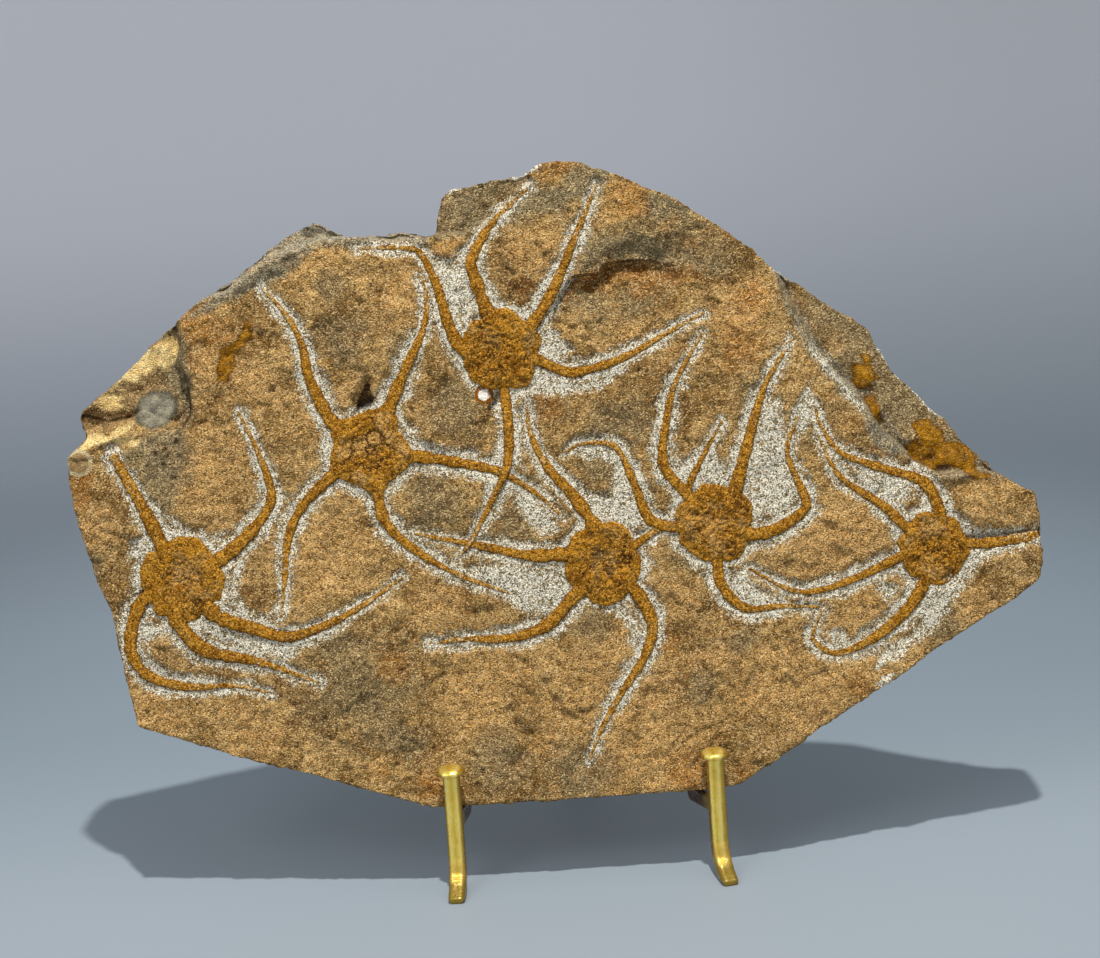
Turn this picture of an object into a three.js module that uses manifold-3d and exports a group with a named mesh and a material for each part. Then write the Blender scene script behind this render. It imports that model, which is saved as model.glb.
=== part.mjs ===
// Fossil brittle-star plate: a broken slab of sandstone with six brittle stars in low relief,
// leaning in a small cast brass easel. Millimetres, +Z up, the fossil face looks along -Y.

import * as THREE from 'three'
import { mergeVertices } from 'three/addons/utils/BufferGeometryUtils.js'
import Module from 'manifold-3d'

// ---- driving dimensions (mm, degrees) ----
const LEAN = 15                 // the slab leans back from upright
const THICKNESS = 18            // slab, front face to back face
const GAP = 0.3                 // between pieces that touch

const DISC_HEIGHT = 2.2         // a star's disc above the stone, at its middle
const ARM_HEIGHT = 1.5          // an arm above the stone, where it leaves the disc
const ARM_TIP_HEIGHT = 0.9      // and at its tip
const ARM_ROOT_DEPTH = 2.5      // how far a star is made below the stone before it is trimmed

const LEFT_LEG_AT = -41.6       // the front legs, right of the slab's middle
const RIGHT_LEG_AT = 43
const LEFT_LEG_TURN = 5         // each side of the easel turns in towards the rear
const RIGHT_LEG_TURN = 13
const BAR_WIDTH = 5.6           // of every cast bar, seen from the front
const BAR_DEPTH = 4.6           // of every cast bar, front to back
const BAR_CHAMFER = 0.9
const SEAT_HEIGHT = 27          // table to the front end of the seat
const POST_TOP = 13             // post above the seat, up to the underside of its button
const KNOB_RADIUS = 4.9
const KNOB_HEIGHT = 3.2
const BACK_BAR_LENGTH = 92      // back bars behind the slab, above the seat
const ROD_RADIUS = 2.2          // rod that joins the back bars
const REAR_FOOT_BACK = 98       // rear foot, behind the front of the seat

const radians = THREE.MathUtils.degToRad
const clamp = THREE.MathUtils.clamp
const lerp = THREE.MathUtils.lerp

const LEGS = {
  left_leg: { x: LEFT_LEG_AT, turn: radians(LEFT_LEG_TURN) },
  right_leg: { x: RIGHT_LEG_AT, turn: radians(RIGHT_LEG_TURN) },
}

// ---- the slab's outline, clockwise from its left corner (u right, v up from the seat) ----
const OUTLINE = [
  [-161, 123], [-154, 129], [-158, 136], [-153, 141], [-146, 146], [-133, 157], [-122, 166], [-113, 173],
  [-103, 178], [-89, 188], [-83, 192], [-75, 195], [-65, 190], [-53, 189], [-46, 190], [-36, 188],
  [-36, 193], [-34, 199], [-31, 202], [-18, 205], [-6, 206], [-1, 209], [7, 210], [14, 208], [27, 203],
  [34, 199], [43, 195], [50, 190], [57, 185], [68, 176], [74, 170], [83, 164], [96, 154], [105, 148],
  [107, 142], [112, 134], [119, 126], [125, 119], [128, 117], [132, 110], [135, 107], [142, 99],
  [151, 93], [155, 90], [156, 82], [156, 72], [155, 63], [152, 60], [135, 50], [119, 41], [105, 32],
  [89, 23], [73, 14], [66, 9], [52, 1], [38, 0], [21, 0], [0, 0], [-22, 0], [-38, 0], [-48, 0], [-57, 3],
  [-66, 6], [-89, 14], [-112, 21], [-133, 29], [-142, 32], [-144, 34], [-146, 46], [-149, 63],
  [-150, 72], [-154, 81], [-156, 91], [-159, 101], [-161, 115],
]

// ---- where the face drops below its general level ----
// Each hollow has an outline, a depth, the width of the slope in from its rim, and, where its
// floor rises gently to one side, the v from which it starts and the v at which it is gone.
const HOLLOWS = [
  { // lower bed exposed along the right shoulder, behind a grey fracture
    depth: 7, slope: 5,
    rim: [[66, 182], [70, 173], [72, 165], [76, 153], [81, 147], [88, 137], [95, 129], [101, 120], [107, 112],
      [114, 105], [123, 99], [131, 97], [141, 97], [150, 97], [170, 96], [150, 130], [110, 175], [80, 190]],
  },
  { // corner broken away on the left
    depth: 7, slope: 9,
    rim: [[-120, 172], [-119, 163], [-120, 156], [-119, 148], [-116, 141], [-118, 133], [-126, 129],
      [-134, 127],
      [-143, 129], [-152, 126], [-168, 122], [-175, 140], [-135, 185]],
  },
  { // lower bed on the top left of the crown
    depth: 4, slope: 6,
    rim: [[-40, 186], [-27, 186], [-16, 190], [-9, 199], [-3, 204], [-3, 214], [-45, 214]],
  },
  { // bevel along the upper left edge
    depth: 6, slope: 8,
    rim: [[-128, 176], [-116, 169], [-104, 172], [-94, 179], [-84, 184], [-74, 187], [-62, 188], [-50, 184],
      [-38, 185], [-34, 205], [-80, 205]],
  },
  { // hollow under the ledge right of the top star
    depth: 4, slope: 2.5, fade: [173, 146],
    rim: [[-1, 163], [7, 167], [13, 172], [22, 177], [33, 177], [46, 175], [58, 171], [66, 164], [62, 150],
      [40, 140], [10, 145]],
  },
  { depth: 4, slope: 3, rim: [[-63, 132], [-58, 132], [-57, 142], [-60, 142]] },       // dark pit
  { depth: 3, slope: 2, rim: [[-21, 131], [-17, 131], [-17, 135], [-21, 135]] },       // small cavity
  { depth: 2, slope: 3, rim: [[152, 79], [128, 77.5], [128, 74.5], [170, 74], [170, 80]] }, // crack, right
]

// ---- lumps that stand on the face: middle, radius, height ----
const LUMPS = [
  { at: [-128, 139], radius: 6, height: 3.5 },     // smooth nodule in the broken corner
  { at: [-138, 133], radius: 6, height: 3 },
  { at: [103, 131], radius: 4.5, height: 1.6 },    // iron-stained nodules on the right shoulder
  { at: [104, 121], radius: 3.5, height: 1 },
  { at: [122, 103], radius: 8, height: 1.8 },
  { at: [-154, 118], radius: 4, height: 1.2 },
  { at: [24, 187], radius: 20, height: 1.5 },
  { at: [-50, 152], radius: 22, height: 1.2 },
  { at: [-70, 60], radius: 30, height: 1.4 },
  { at: [60, 35], radius: 34, height: 1.4 },
  { at: [140, 88], radius: 12, height: 1.6 },
  { at: [-5, 35], radius: 24, height: 0.9 },
]

// ---- the brittle stars: disc middle and radius, then each arm's run and its two widths ----
// An animal that lies across another comes after it, and `over` marks where its arm rises.
const STARS = {
  brittle_star_left: {
    disc: [-61.5, 118.5], radius: 13.3,
    arms: [
      { run: [[-73.5, 129], [-80, 145], [-83, 159], [-93, 173.5]], width: [4.2, 1] },
      { run: [[-55.5, 129.5], [-49, 142.5], [-42, 155.5], [-40, 166], [-41, 174]], width: [4.2, 1] },
      { run: [[-49, 116], [-31.5, 112.5], [-18.5, 108], [-8.5, 101], [0.5, 92]], width: [3.9, 1] },
      { run: [[-60, 105], [-57.5, 94], [-47.5, 84], [-35, 76], [-19, 69]], width: [3.6, 1] },
      { run: [[-73, 112], [-84.5, 102], [-90, 91.5], [-92, 78], [-94, 66]], width: [3.9, 1] },
    ],
  },
  brittle_star_lower_left: {
    disc: [-125.5, 81], radius: 13.3,
    arms: [
      { run: [[-130.5, 91], [-136.5, 105], [-145, 122.5]], width: [4.4, 3] },
      { run: [[-110.5, 87.5], [-98, 98.5], [-94.5, 106], [-98, 120.5], [-103.5, 134]], width: [4.2, 1] },
      { run: [[-114, 67.5], [-101.5, 62.5], [-86.5, 60.5], [-71.5, 66], [-53.5, 76.5]], width: [4.5, 1] },
      { run: [[-127.5, 67], [-119, 57], [-101.5, 52], [-83, 44]], width: [5.2, 1] },
      { run: [[-139.5, 73.5], [-143.5, 60.5], [-137, 49], [-118.5, 45], [-99.5, 42]], width: [4.5, 1] },
    ],
  },
  brittle_star_right: {
    disc: [49, 87.5], radius: 12.7,
    arms: [
      { run: [[36.5, 87], [31, 88.2], [24.5, 98], [21, 110], [14, 116], [2, 113.5]], width: [3.6, 1] },
      { run: [[40, 98], [33.5, 109], [35.5, 122], [42.5, 141], [49, 149.5]], width: [3.6, 1] },
      { run: [[41, 99], [47, 110], [53.5, 120.5]], width: [2.4, 1] },
      { run: [[56, 97], [63.5, 118], [69.5, 133.5], [78, 145.5]], width: [4.2, 1] },
      { run: [[60.5, 83], [72, 85], [79, 93.5], [74, 110], [78.5, 120.5]], width: [3.9, 1] },
      { run: [[49, 74.5], [51, 64.5], [57, 59.2], [69, 59], [80, 58]], width: [3.6, 1] },
    ],
  },
  brittle_star_centre: {
    disc: [12, 77], radius: 12.8,
    arms: [
      { run: [[9.5, 89.5], [3.5, 99.5], [-4, 109], [-9, 120.5], [-9.5, 130]], width: [4.5, 1] },
      { run: [[0, 80.5], [-12.5, 81], [-35, 86.5], [-49, 90.5]], width: [4.2, 1] },
      { run: [[1, 66], [-8.5, 57.5], [-20.5, 54.5], [-34, 55], [-46.5, 54.5]], width: [4.5, 1] },
      { run: [[21.5, 67.5], [26.5, 54], [19.5, 40], [8, 23.5], [3, 13]], width: [3.9, 1] },
      { run: [[23.5, 82.5], [31, 86.8]], width: [2.8, 1.8] },
    ],
  },
  brittle_star_far_right: {
    disc: [119.5, 74.5], radius: 11.4,
    arms: [
      { run: [[122.5, 85], [118, 96], [105, 101.5], [91.5, 107.5], [84, 123.5]], width: [3.9, 1] },
      { run: [[111, 82], [98.5, 94], [88.5, 103.5], [84.5, 113.5]], width: [3.3, 1] },
      { run: [[109, 72.5], [89, 65.5], [74, 63.5], [59, 72]], width: [3, 1] },
      { run: [[116, 64], [104.5, 51], [86, 42.5], [79, 47], [81.5, 55]], width: [3.9, 1] },
      { run: [[128, 76], [143.5, 75], [154, 76.5]], width: [3, 2] },
    ],
  },
  brittle_star_top: {
    disc: [-16.5, 148], radius: 12.8,
    arms: [
      { run: [[-29, 149], [-33, 157], [-36.5, 171.5], [-41, 181.5], [-53.5, 184],
        [-61, 184.5]], width: [3.9, 1] },
      { run: [[-20.5, 161], [-24.5, 175], [-23.5, 181], [-12.5, 194], [-4, 201]], width: [4.5, 1] },
      { run: [[-6, 156], [2, 167.5], [10.5, 185], [18, 200]], width: [3.9, 1] },
      { run: [[-4.5, 144], [7.5, 139.5], [22.5, 143], [38, 150.5], [50, 156]], width: [3.6, 1] },
      { run: [[-16.5, 135], [-16, 122.5], [-17.5, 110], [-24.5, 97], [-30.5, 87],
        [-35, 82]], width: [3.6, 1.2],
        over: [[-17.7, 109], [-31, 86]] },
    ],
  },
}

// ---- solids: three.js geometry in, manifold-3d for the joins and cuts, geometry out ----
const wasm = await Module()
wasm.setup()

function toSolid(geometry) {
  const bare = geometry.clone()
  bare.deleteAttribute('normal')
  bare.deleteAttribute('uv')
  const merged = mergeVertices(bare, 1e-4)
  const vertProperties = new Float32Array(merged.attributes.position.array)
  const triVerts = new Uint32Array(merged.index.array)
  return new wasm.Manifold(new wasm.Mesh({ numProp: 3, vertProperties, triVerts }))
}

function toGeometry(solid) {
  const mesh = solid.getMesh()
  const geometry = new THREE.BufferGeometry()
  geometry.setAttribute('position', new THREE.BufferAttribute(new Float32Array(mesh.vertProperties), 3))
  geometry.setIndex(new THREE.BufferAttribute(new Uint32Array(mesh.triVerts), 1))
  geometry.computeVertexNormals()
  return geometry
}

function mergedCopy(geometry) {
  const bare = geometry.clone()
  bare.deleteAttribute('normal')
  bare.deleteAttribute('uv')
  return mergeVertices(bare, 1e-4)
}

function reshape(geometry, place) {
  const shaped = mergedCopy(geometry)
  const position = shaped.attributes.position
  const point = new THREE.Vector3()
  for (let i = 0; i < position.count; i++) {
    point.fromBufferAttribute(position, i)
    place(point)
    position.setXYZ(i, point.x, point.y, point.z)
  }
  return shaped
}

// ---- broken stone: repeatable noise and distances to an outline ----
function scatter(i, j, seed) {
  const s = Math.sin(i * 127.1 + j * 311.7 + seed * 74.7) * 43758.5453
  return (s - Math.floor(s)) * 2 - 1
}

function noise(u, v, size, seed) {
  const x = u / size
  const y = v / size
  const i = Math.floor(x)
  const j = Math.floor(y)
  const fx = THREE.MathUtils.smoothstep(x - i, 0, 1)
  const fy = THREE.MathUtils.smoothstep(y - j, 0, 1)
  const low = lerp(scatter(i, j, seed), scatter(i + 1, j, seed), fx)
  const high = lerp(scatter(i, j + 1, seed), scatter(i + 1, j + 1, seed), fx)
  return lerp(low, high, fy)
}

function insideDistance(rim, u, v) {
  let inside = false
  let nearest = Infinity
  rim.forEach(([ax, ay], k) => {
    const [bx, by] = rim[(k + 1) % rim.length]
    if ((ay > v) !== (by > v) && u < ax + (bx - ax) * (v - ay) / (by - ay)) inside = !inside
    const length = (bx - ax) ** 2 + (by - ay) ** 2
    const along = clamp(((u - ax) * (bx - ax) + (v - ay) * (by - ay)) / length, 0, 1)
    nearest = Math.min(nearest, Math.hypot(u - ax - along * (bx - ax), v - ay - along * (by - ay)))
  })
  return inside ? nearest : -nearest
}

// Around the two posts the face has no lump that would reach them.
const POST_ZONE = { top: 22, radius: 12 }

// Height of the fossil face above its general plane.
function face(u, v) {
  let height = 0.9 * noise(u, v, 34, 1) + 0.6 * noise(u, v, 15, 2) + 0.35 * noise(u, v, 7, 3)
  for (const { depth, slope, rim, fade } of HOLLOWS) {
    const inward = clamp(insideDistance(rim, u, v) / slope, 0, 1)
    const kept = fade ? clamp((v - fade[1]) / (fade[0] - fade[1]), 0, 1) : 1
    height -= depth * inward * kept
  }
  for (const { at, radius, height: rise } of LUMPS) {
    const reach = Math.hypot(u - at[0], v - at[1]) / radius
    if (reach < 1) height += rise * (1 - reach * reach) ** 2
  }
  const aside = Math.min(Math.abs(u - LEFT_LEG_AT), Math.abs(u - RIGHT_LEG_AT))
  const fromPost = Math.hypot(aside, Math.max(0, v - POST_ZONE.top))
  return fromPost < POST_ZONE.radius ? Math.min(height, 0) : height
}

// Depth of the broken back.
function back(u, v) {
  return -THICKNESS + 1.4 * noise(u, v, 45, 5) + 0.8 * noise(u, v, 18, 6)
}

// ---- slab ----
const BLOCK = { width: 336, height: 228, deep: 60, middle: [-2, 106] }
const FRONT_CELL = 9.4
const BACK_CELL = 18

// A box whose upper or lower side takes a surface: the other side stays flat and out of the way.
function rockBlock(cell, upper, surface) {
  const columns = Math.round(BLOCK.width / cell)
  const rows = Math.round(BLOCK.height / cell)
  const box = new THREE.BoxGeometry(BLOCK.width, BLOCK.height, BLOCK.deep, columns, rows, 1)
  return toSolid(reshape(box, (p) => {
    const onSurface = (p.z > 0) === upper
    const u = p.x + BLOCK.middle[0]
    const v = p.y + BLOCK.middle[1]
    const stray = onSurface ? cell * 0.28 : 0
    const x = u + stray * scatter(Math.round(u * 3), Math.round(v * 3), 11)
    const y = v + stray * scatter(Math.round(u * 3), Math.round(v * 3), 12)
    p.set(x, y, onSurface ? surface(x, y) : Math.sign(p.z) * BLOCK.deep / 2)
  }))
}

// The broken edge: the outline carried through the thickness in steps, each pushed in or out.
const EDGE_STEPS = 5
const EDGE_FRONT = 10
const EDGE_BACK = -26
const EDGE_ROUGHNESS = 1.7
const FARTHEST_LEFT = -162
const FARTHEST_RIGHT = 157

function edgeBlock() {
  const shape = new THREE.Shape(OUTLINE.map(([u, v]) => new THREE.Vector2(u, v)))
  const depth = EDGE_FRONT - EDGE_BACK
  const tall = new THREE.ExtrudeGeometry(shape, { depth, steps: EDGE_STEPS, bevelEnabled: false })
  return toSolid(reshape(tall, (p) => {
    const z = p.z + EDGE_BACK
    const behind = clamp(-z / THICKNESS, 0, 1)
    const rough = EDGE_ROUGHNESS * behind
    const middle = new THREE.Vector2(p.x + 5, p.y - 100).normalize()
    const shift = rough * noise(p.x + z * 2, p.y - z * 2, 11, 21) - 1.2 * behind
    const low = p.y < 6 ? 0 : 1
    const x = p.x + middle.x * shift * low
    const y = p.y + middle.y * shift * low
    p.set(clamp(x, FARTHEST_LEFT, FARTHEST_RIGHT), y, z)
  }))
}

const slabWhole = rockBlock(FRONT_CELL, true, face)
  .intersect(rockBlock(BACK_CELL, false, back))
  .intersect(edgeBlock())

// ---- brittle stars ----
const DISC_SIDES = 12
const DISC_RINGS = 5
const ARM_STEP = 8.5            // along an arm
const ARM_SIDES = 4             // ridge, two shoulders and a root
const SHOULDER = 0.35           // height of the shoulders, as a share of the ridge
const ARM_ROOT = 0.6            // where an arm starts inside its disc, as a share of the way out

// An arm is a round bar laid along its run, thinned to its tip and following the stone.
function armSolid({ run, width, over = [] }, disc, extra) {
  const root = [lerp(disc[0], run[0][0], ARM_ROOT), lerp(disc[1], run[0][1], ARM_ROOT)]
  const path = new THREE.CatmullRomCurve3([root, ...run].map(([u, v]) => new THREE.Vector3(u, v, 0)))
  const length = path.getLength()
  const steps = Math.ceil(length / ARM_STEP)
  const bar = new THREE.CylinderGeometry(1, 1, 1, ARM_SIDES, steps)
  return toSolid(reshape(bar, (p) => {
    const t = clamp(p.y + 0.5, 0, 1)
    const centre = path.getPointAt(t)
    const along = path.getTangentAt(t)
    const half = lerp(width[0], width[1], t) / 2 + extra
    const rise = lerp(ARM_HEIGHT, ARM_TIP_HEIGHT, t) + extra
    const lift = Math.max(0, ...over.map(([u, v]) => {
      const away = Math.hypot(centre.x - u, centre.y - v)
      return OVER_LIFT * clamp((OVER_REACH - away) / OVER_RAMP, 0, 1)
    }))
    const ground = face(centre.x, centre.y)
    const z = ground + lift + (p.z < -0.5 ? -ARM_ROOT_DEPTH : lerp(SHOULDER, 1, Math.abs(p.z)) * rise)
    p.set(centre.x + along.y * p.x * half, centre.y - along.x * p.x * half, z)
  }))
}

// Where one arm lies across another it rises over it.
const OVER_LIFT = 1.7
const OVER_REACH = 7
const OVER_RAMP = 4

function discSolid({ disc, radius }) {
  const button = new THREE.SphereGeometry(1, DISC_SIDES, DISC_RINGS)
  return toSolid(reshape(button, (p) => {
    const around = Math.atan2(-p.z, p.x)
    const reach = Math.hypot(p.x, p.z)
    const wavy = 0.05 * Math.cos(5 * around) + 0.04 * noise(disc[0] + around * 9, disc[1], 4, 31)
    const edge = radius * (1 + wavy)
    const u = disc[0] + Math.cos(around) * reach * edge
    const v = disc[1] + Math.sin(around) * reach * edge
    const dome = p.y > 0 ? DISC_HEIGHT * Math.sqrt(p.y) + 0.25 * noise(u, v, 5, 32) : p.y * ARM_ROOT_DEPTH * 2
    p.set(u, v, face(u, v) + dome)
  }))
}

const stoneCut = slabWhole.translate([0, 0, GAP])

// The whole animal, made too deep, and larger all round by a clearance where that is given.
function starForm(star, clearance) {
  return star.arms.reduce((form, arm) => form.add(armSolid(arm, star.disc, clearance)), discSolid(star))
}

function starSolid(star, below) {
  return below.reduce((form, clearance) => form.subtract(clearance), starForm(star, 0).subtract(stoneCut))
}

function starClearance(star) {
  return starForm(star, GAP)
}

// ---- easel ----
const lean = radians(LEAN)

// A point in the upright plane of an easel side, from its depth behind the stone's face
// and its height up that face: x runs backward from the post, y is height.
function behindFace(depth, up) {
  const backward = depth * Math.cos(lean) + up * Math.sin(lean)
  const upward = SEAT_HEIGHT - depth * Math.sin(lean) + up * Math.cos(lean)
  return new THREE.Vector2(backward, upward)
}

// A flat casting from its side view, chamfered along both faces and centred on its middle plane.
function castSolid(shape, width) {
  const extruded = new THREE.ExtrudeGeometry(shape, {
    depth: width - 2 * BAR_CHAMFER, bevelThickness: BAR_CHAMFER, bevelSize: BAR_CHAMFER,
    bevelOffset: -BAR_CHAMFER, bevelSegments: 1, curveSegments: 5,
  })
  return toSolid(reshape(extruded, (p) => p.set(p.z + BAR_CHAMFER - width / 2, p.x, p.y)))
}

const BACK_DEPTH = THICKNESS + 2.5      // stone's face to the back bars, clear of the rough back
const SEAT_THICKNESS = 4.4
const LUG_DEPTH = 10                    // top of a back bar, where the rod is held
const LUG_HEIGHT = 9
const ROD_AT = { depth: BACK_DEPTH + LUG_DEPTH - 4, up: BACK_BAR_LENGTH - LUG_HEIGHT / 2 }

// Side view of a front leg: toe, shank, post in front of the stone, seat under it, bar behind it.
// It is drawn square to the stone, so a leg that is turned is stretched to keep its places.
function legShape(turn) {
  const point = (x, y) => new THREE.Vector2(x, y)
  const postTop = SEAT_HEIGHT + POST_TOP + 0.4
  const barBack = BACK_DEPTH + BAR_DEPTH
  const outline = [
    point(-14, 0), point(-7.5, 0), point(-4, 2.2), point(-1.6, 6), point(-0.5, 12),
    point(-0.2, SEAT_HEIGHT - 6),
    behindFace(barBack - 1.8, -GAP - SEAT_THICKNESS), behindFace(barBack, 0),
    behindFace(barBack, BACK_BAR_LENGTH - LUG_HEIGHT - 4),
    behindFace(BACK_DEPTH + LUG_DEPTH, BACK_BAR_LENGTH - LUG_HEIGHT),
    behindFace(BACK_DEPTH + LUG_DEPTH, BACK_BAR_LENGTH), behindFace(BACK_DEPTH + 1, BACK_BAR_LENGTH),
    behindFace(BACK_DEPTH, BACK_BAR_LENGTH - 2), behindFace(BACK_DEPTH, 1.5),
    behindFace(BACK_DEPTH - 1.5, -GAP), behindFace(0, -GAP),
    point(-GAP, SEAT_HEIGHT + 1), point(-GAP, postTop), point(-BAR_DEPTH, postTop),
    point(-BAR_DEPTH, SEAT_HEIGHT), point(-BAR_DEPTH - 0.6, 12), point(-BAR_DEPTH - 1.8, 7.5),
    point(-9, 4.6), point(-14, 1.8),
  ]
  return new THREE.Shape(outline.map((p) => point(p.x / Math.cos(turn), p.y)))
}

// The button on the post: a low dome over a rounded rim.
function knobSolid() {
  const profile = [
    [0, 0], [3, 0], [4.5, 0.5], [KNOB_RADIUS, 1.2], [4.6, 1.9], [3.4, 2.6], [1.8, 3.05], [0, KNOB_HEIGHT],
  ].map(([x, y]) => new THREE.Vector2(x, y))
  const knob = new THREE.LatheGeometry(profile, 12)
  const height = SEAT_HEIGHT + POST_TOP
  return toSolid(reshape(knob, (p) => p.set(p.x, -p.z - BAR_DEPTH / 2, p.y + height)))
}

const rodAt = behindFace(ROD_AT.depth, ROD_AT.up)

// Where the rod meets the inner side of a leg's back bar.
function rodEnd({ x, turn }) {
  const inward = Math.abs(x) - rodAt.x * Math.tan(turn) - BAR_WIDTH / 2 / Math.cos(turn)
  return Math.sign(x) * (inward - ROD_RADIUS * Math.tan(turn) - GAP)
}

function rodSolid() {
  const left = rodEnd(LEGS.left_leg)
  const right = rodEnd(LEGS.right_leg)
  const middle = (left + right) / 2
  const rod = new THREE.CylinderGeometry(ROD_RADIUS, ROD_RADIUS, right - left, 16)
  return toSolid(reshape(rod, (p) => p.set(p.y + middle, rodAt.x - p.x, rodAt.y + p.z)))
}

const EYE_RADIUS = 4.6
const NECK_HALF_ANGLE = 0.52            // the eye stays open over this much for the bar, radians

// The rear leg hangs on the rod by an eye and ends in a short foot turned back.
function rearLegShape() {
  const { x, y } = rodAt
  const foot = REAR_FOOT_BACK
  const slope = Math.atan2(foot - x, y)
  const shape = new THREE.Shape()
  const neck = -Math.PI / 2 + slope
  shape.absarc(x, y, EYE_RADIUS, neck + NECK_HALF_ANGLE, neck - NECK_HALF_ANGLE + 2 * Math.PI, false)
  shape.lineTo(foot - BAR_DEPTH / 2 - 3, 6)
  shape.lineTo(foot - 2, 0)
  shape.lineTo(foot + 8, 0)
  shape.lineTo(foot + 8, 1.8)
  shape.lineTo(foot + 3.5, 4)
  shape.lineTo(foot + BAR_DEPTH / 2 - 2, 8)
  return shape
}

function rearLegSolid() {
  const width = BAR_WIDTH + 2
  const bore = new THREE.CylinderGeometry(ROD_RADIUS + GAP, ROD_RADIUS + GAP, 2 * width, 16)
  const hole = toSolid(reshape(bore, (p) => p.set(p.y, rodAt.x - p.x, rodAt.y + p.z)))
  return castSolid(rearLegShape(), width).subtract(hole)
}

// ---- materials ----
const finishes = {
  sandstone: { color: 0xa98f63, roughness: 0.92, metalness: 0 },
  fossil: { color: 0x855f26, roughness: 0.75, metalness: 0 },
  brass: { color: 0xaa9246, roughness: 0.35, metalness: 1 },
}

function named(name, solid, finish) {
  const mesh = new THREE.Mesh(toGeometry(solid), new THREE.MeshStandardMaterial(finishes[finish]))
  mesh.name = name
  return mesh
}

// ---- assembly ----
function leaningSlab() {
  const leaning = new THREE.Group()
  leaning.position.z = SEAT_HEIGHT
  leaning.rotation.x = radians(90 - LEAN)
  leaning.add(named('slab', slabWhole, 'sandstone'))
  const laid = []
  for (const [name, star] of Object.entries(STARS)) {
    leaning.add(named(name, starSolid(star, laid), 'fossil'))
    laid.push(starClearance(star))
  }
  return leaning
}

function easel() {
  const stand = new THREE.Group()
  for (const [name, { x, turn }] of Object.entries(LEGS)) {
    const leg = named(name, castSolid(legShape(turn), BAR_WIDTH).add(knobSolid()), 'brass')
    leg.position.x = x
    leg.rotation.z = Math.sign(x) * turn
    stand.add(leg)
  }
  stand.add(named('cross_rod', rodSolid(), 'brass'))
  stand.add(named('rear_leg', rearLegSolid(), 'brass'))
  return stand
}

const plate = new THREE.Group()
plate.add(leaningSlab(), easel())
plate.updateMatrixWorld(true)
const extent = new THREE.Box3().setFromObject(plate, true)
plate.position.set(-(extent.min.x + extent.max.x) / 2, -(extent.min.y + extent.max.y) / 2, -extent.min.z)

export default plate
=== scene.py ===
"""Fossil brittle-star plate: a broken sandstone slab with six brittle stars, in a brass easel."""
import math

import bmesh
import bpy
import numpy as np
from mathutils import Matrix, Vector, noise
from mathutils.bvhtree import BVHTree
from mathutils.kdtree import KDTree


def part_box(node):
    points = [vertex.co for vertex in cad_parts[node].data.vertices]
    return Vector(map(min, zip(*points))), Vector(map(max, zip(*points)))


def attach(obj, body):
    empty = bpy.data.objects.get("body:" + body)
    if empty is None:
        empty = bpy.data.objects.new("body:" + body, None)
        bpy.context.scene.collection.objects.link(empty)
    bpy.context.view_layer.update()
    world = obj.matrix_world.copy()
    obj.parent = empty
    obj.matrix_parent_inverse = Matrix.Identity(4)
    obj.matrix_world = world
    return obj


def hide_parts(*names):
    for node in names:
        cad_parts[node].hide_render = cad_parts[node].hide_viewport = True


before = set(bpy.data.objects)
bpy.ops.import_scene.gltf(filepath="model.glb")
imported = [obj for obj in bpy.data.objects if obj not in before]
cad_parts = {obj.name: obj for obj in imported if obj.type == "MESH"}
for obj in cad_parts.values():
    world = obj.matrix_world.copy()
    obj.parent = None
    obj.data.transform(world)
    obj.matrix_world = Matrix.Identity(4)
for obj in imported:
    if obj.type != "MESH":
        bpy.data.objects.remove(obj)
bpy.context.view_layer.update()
MM = 0.001

# ---------------------------------------------------------------- placing things on the leaning face
# Places on the face are in millimetres: u to the right, v up the slope from the seat, and w out of
# the stone.
LEAN = math.radians(15)
SEAT_HEIGHT = 27 * MM
TOE_REACH = 14.43 * MM              # toe tips to the front of the seat
FARTHEST_LEFT = 160.94 * MM         # the slab's left tip from the middle of the face


def seat_point():
    """The middle of the seat line, where the slab's front lower edge rests."""
    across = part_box("slab")[0].x + FARTHEST_LEFT
    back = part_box("right_leg")[0].y + TOE_REACH
    return Vector((across, back, SEAT_HEIGHT))


SEAT = seat_point()
U_AXIS = Vector((1, 0, 0))
V_AXIS = Vector((0, math.sin(LEAN), math.cos(LEAN)))
W_AXIS = Vector((0, -math.cos(LEAN), math.sin(LEAN)))
FACE_AXES = Matrix((U_AXIS, V_AXIS, W_AXIS)).transposed().to_4x4()
FACE_TO_WORLD = Matrix.Translation(SEAT) @ FACE_AXES @ Matrix.Scale(MM, 4)
WORLD_TO_FACE = FACE_TO_WORLD.inverted()


def vectors(elements, field):
    """A field of three numbers on each element, as an array with a row for each."""
    flat = np.empty(len(elements) * 3, np.float32)
    elements.foreach_get(field, flat)
    return flat.reshape(-1, 3).astype(float)


def coordinates(mesh):
    return vectors(mesh.vertices, "co")


def vertex_normals(mesh):
    return vectors(mesh.vertex_normals, "vector")


def set_coordinates(mesh, points):
    mesh.vertices.foreach_set("co", np.asarray(points, np.float32).ravel())
    mesh.update()


def mesh_edges(mesh):
    flat = np.empty(len(mesh.edges) * 2, np.int64)
    mesh.edges.foreach_get("vertices", flat)
    return flat.reshape(-1, 2)


def moved(points, matrix):
    m = np.array(matrix)
    return points @ m[:3, :3].T + m[:3, 3]


def new_object(name, mesh):
    obj = bpy.data.objects.new(name, mesh)
    bpy.context.scene.collection.objects.link(obj)
    return obj


def store(mesh, name, values):
    """Stores a value at each point of the mesh, for a finish to read."""
    attribute = mesh.attributes.new(name, "FLOAT", "POINT")
    attribute.data.foreach_set("value", np.asarray(values, np.float32))


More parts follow.
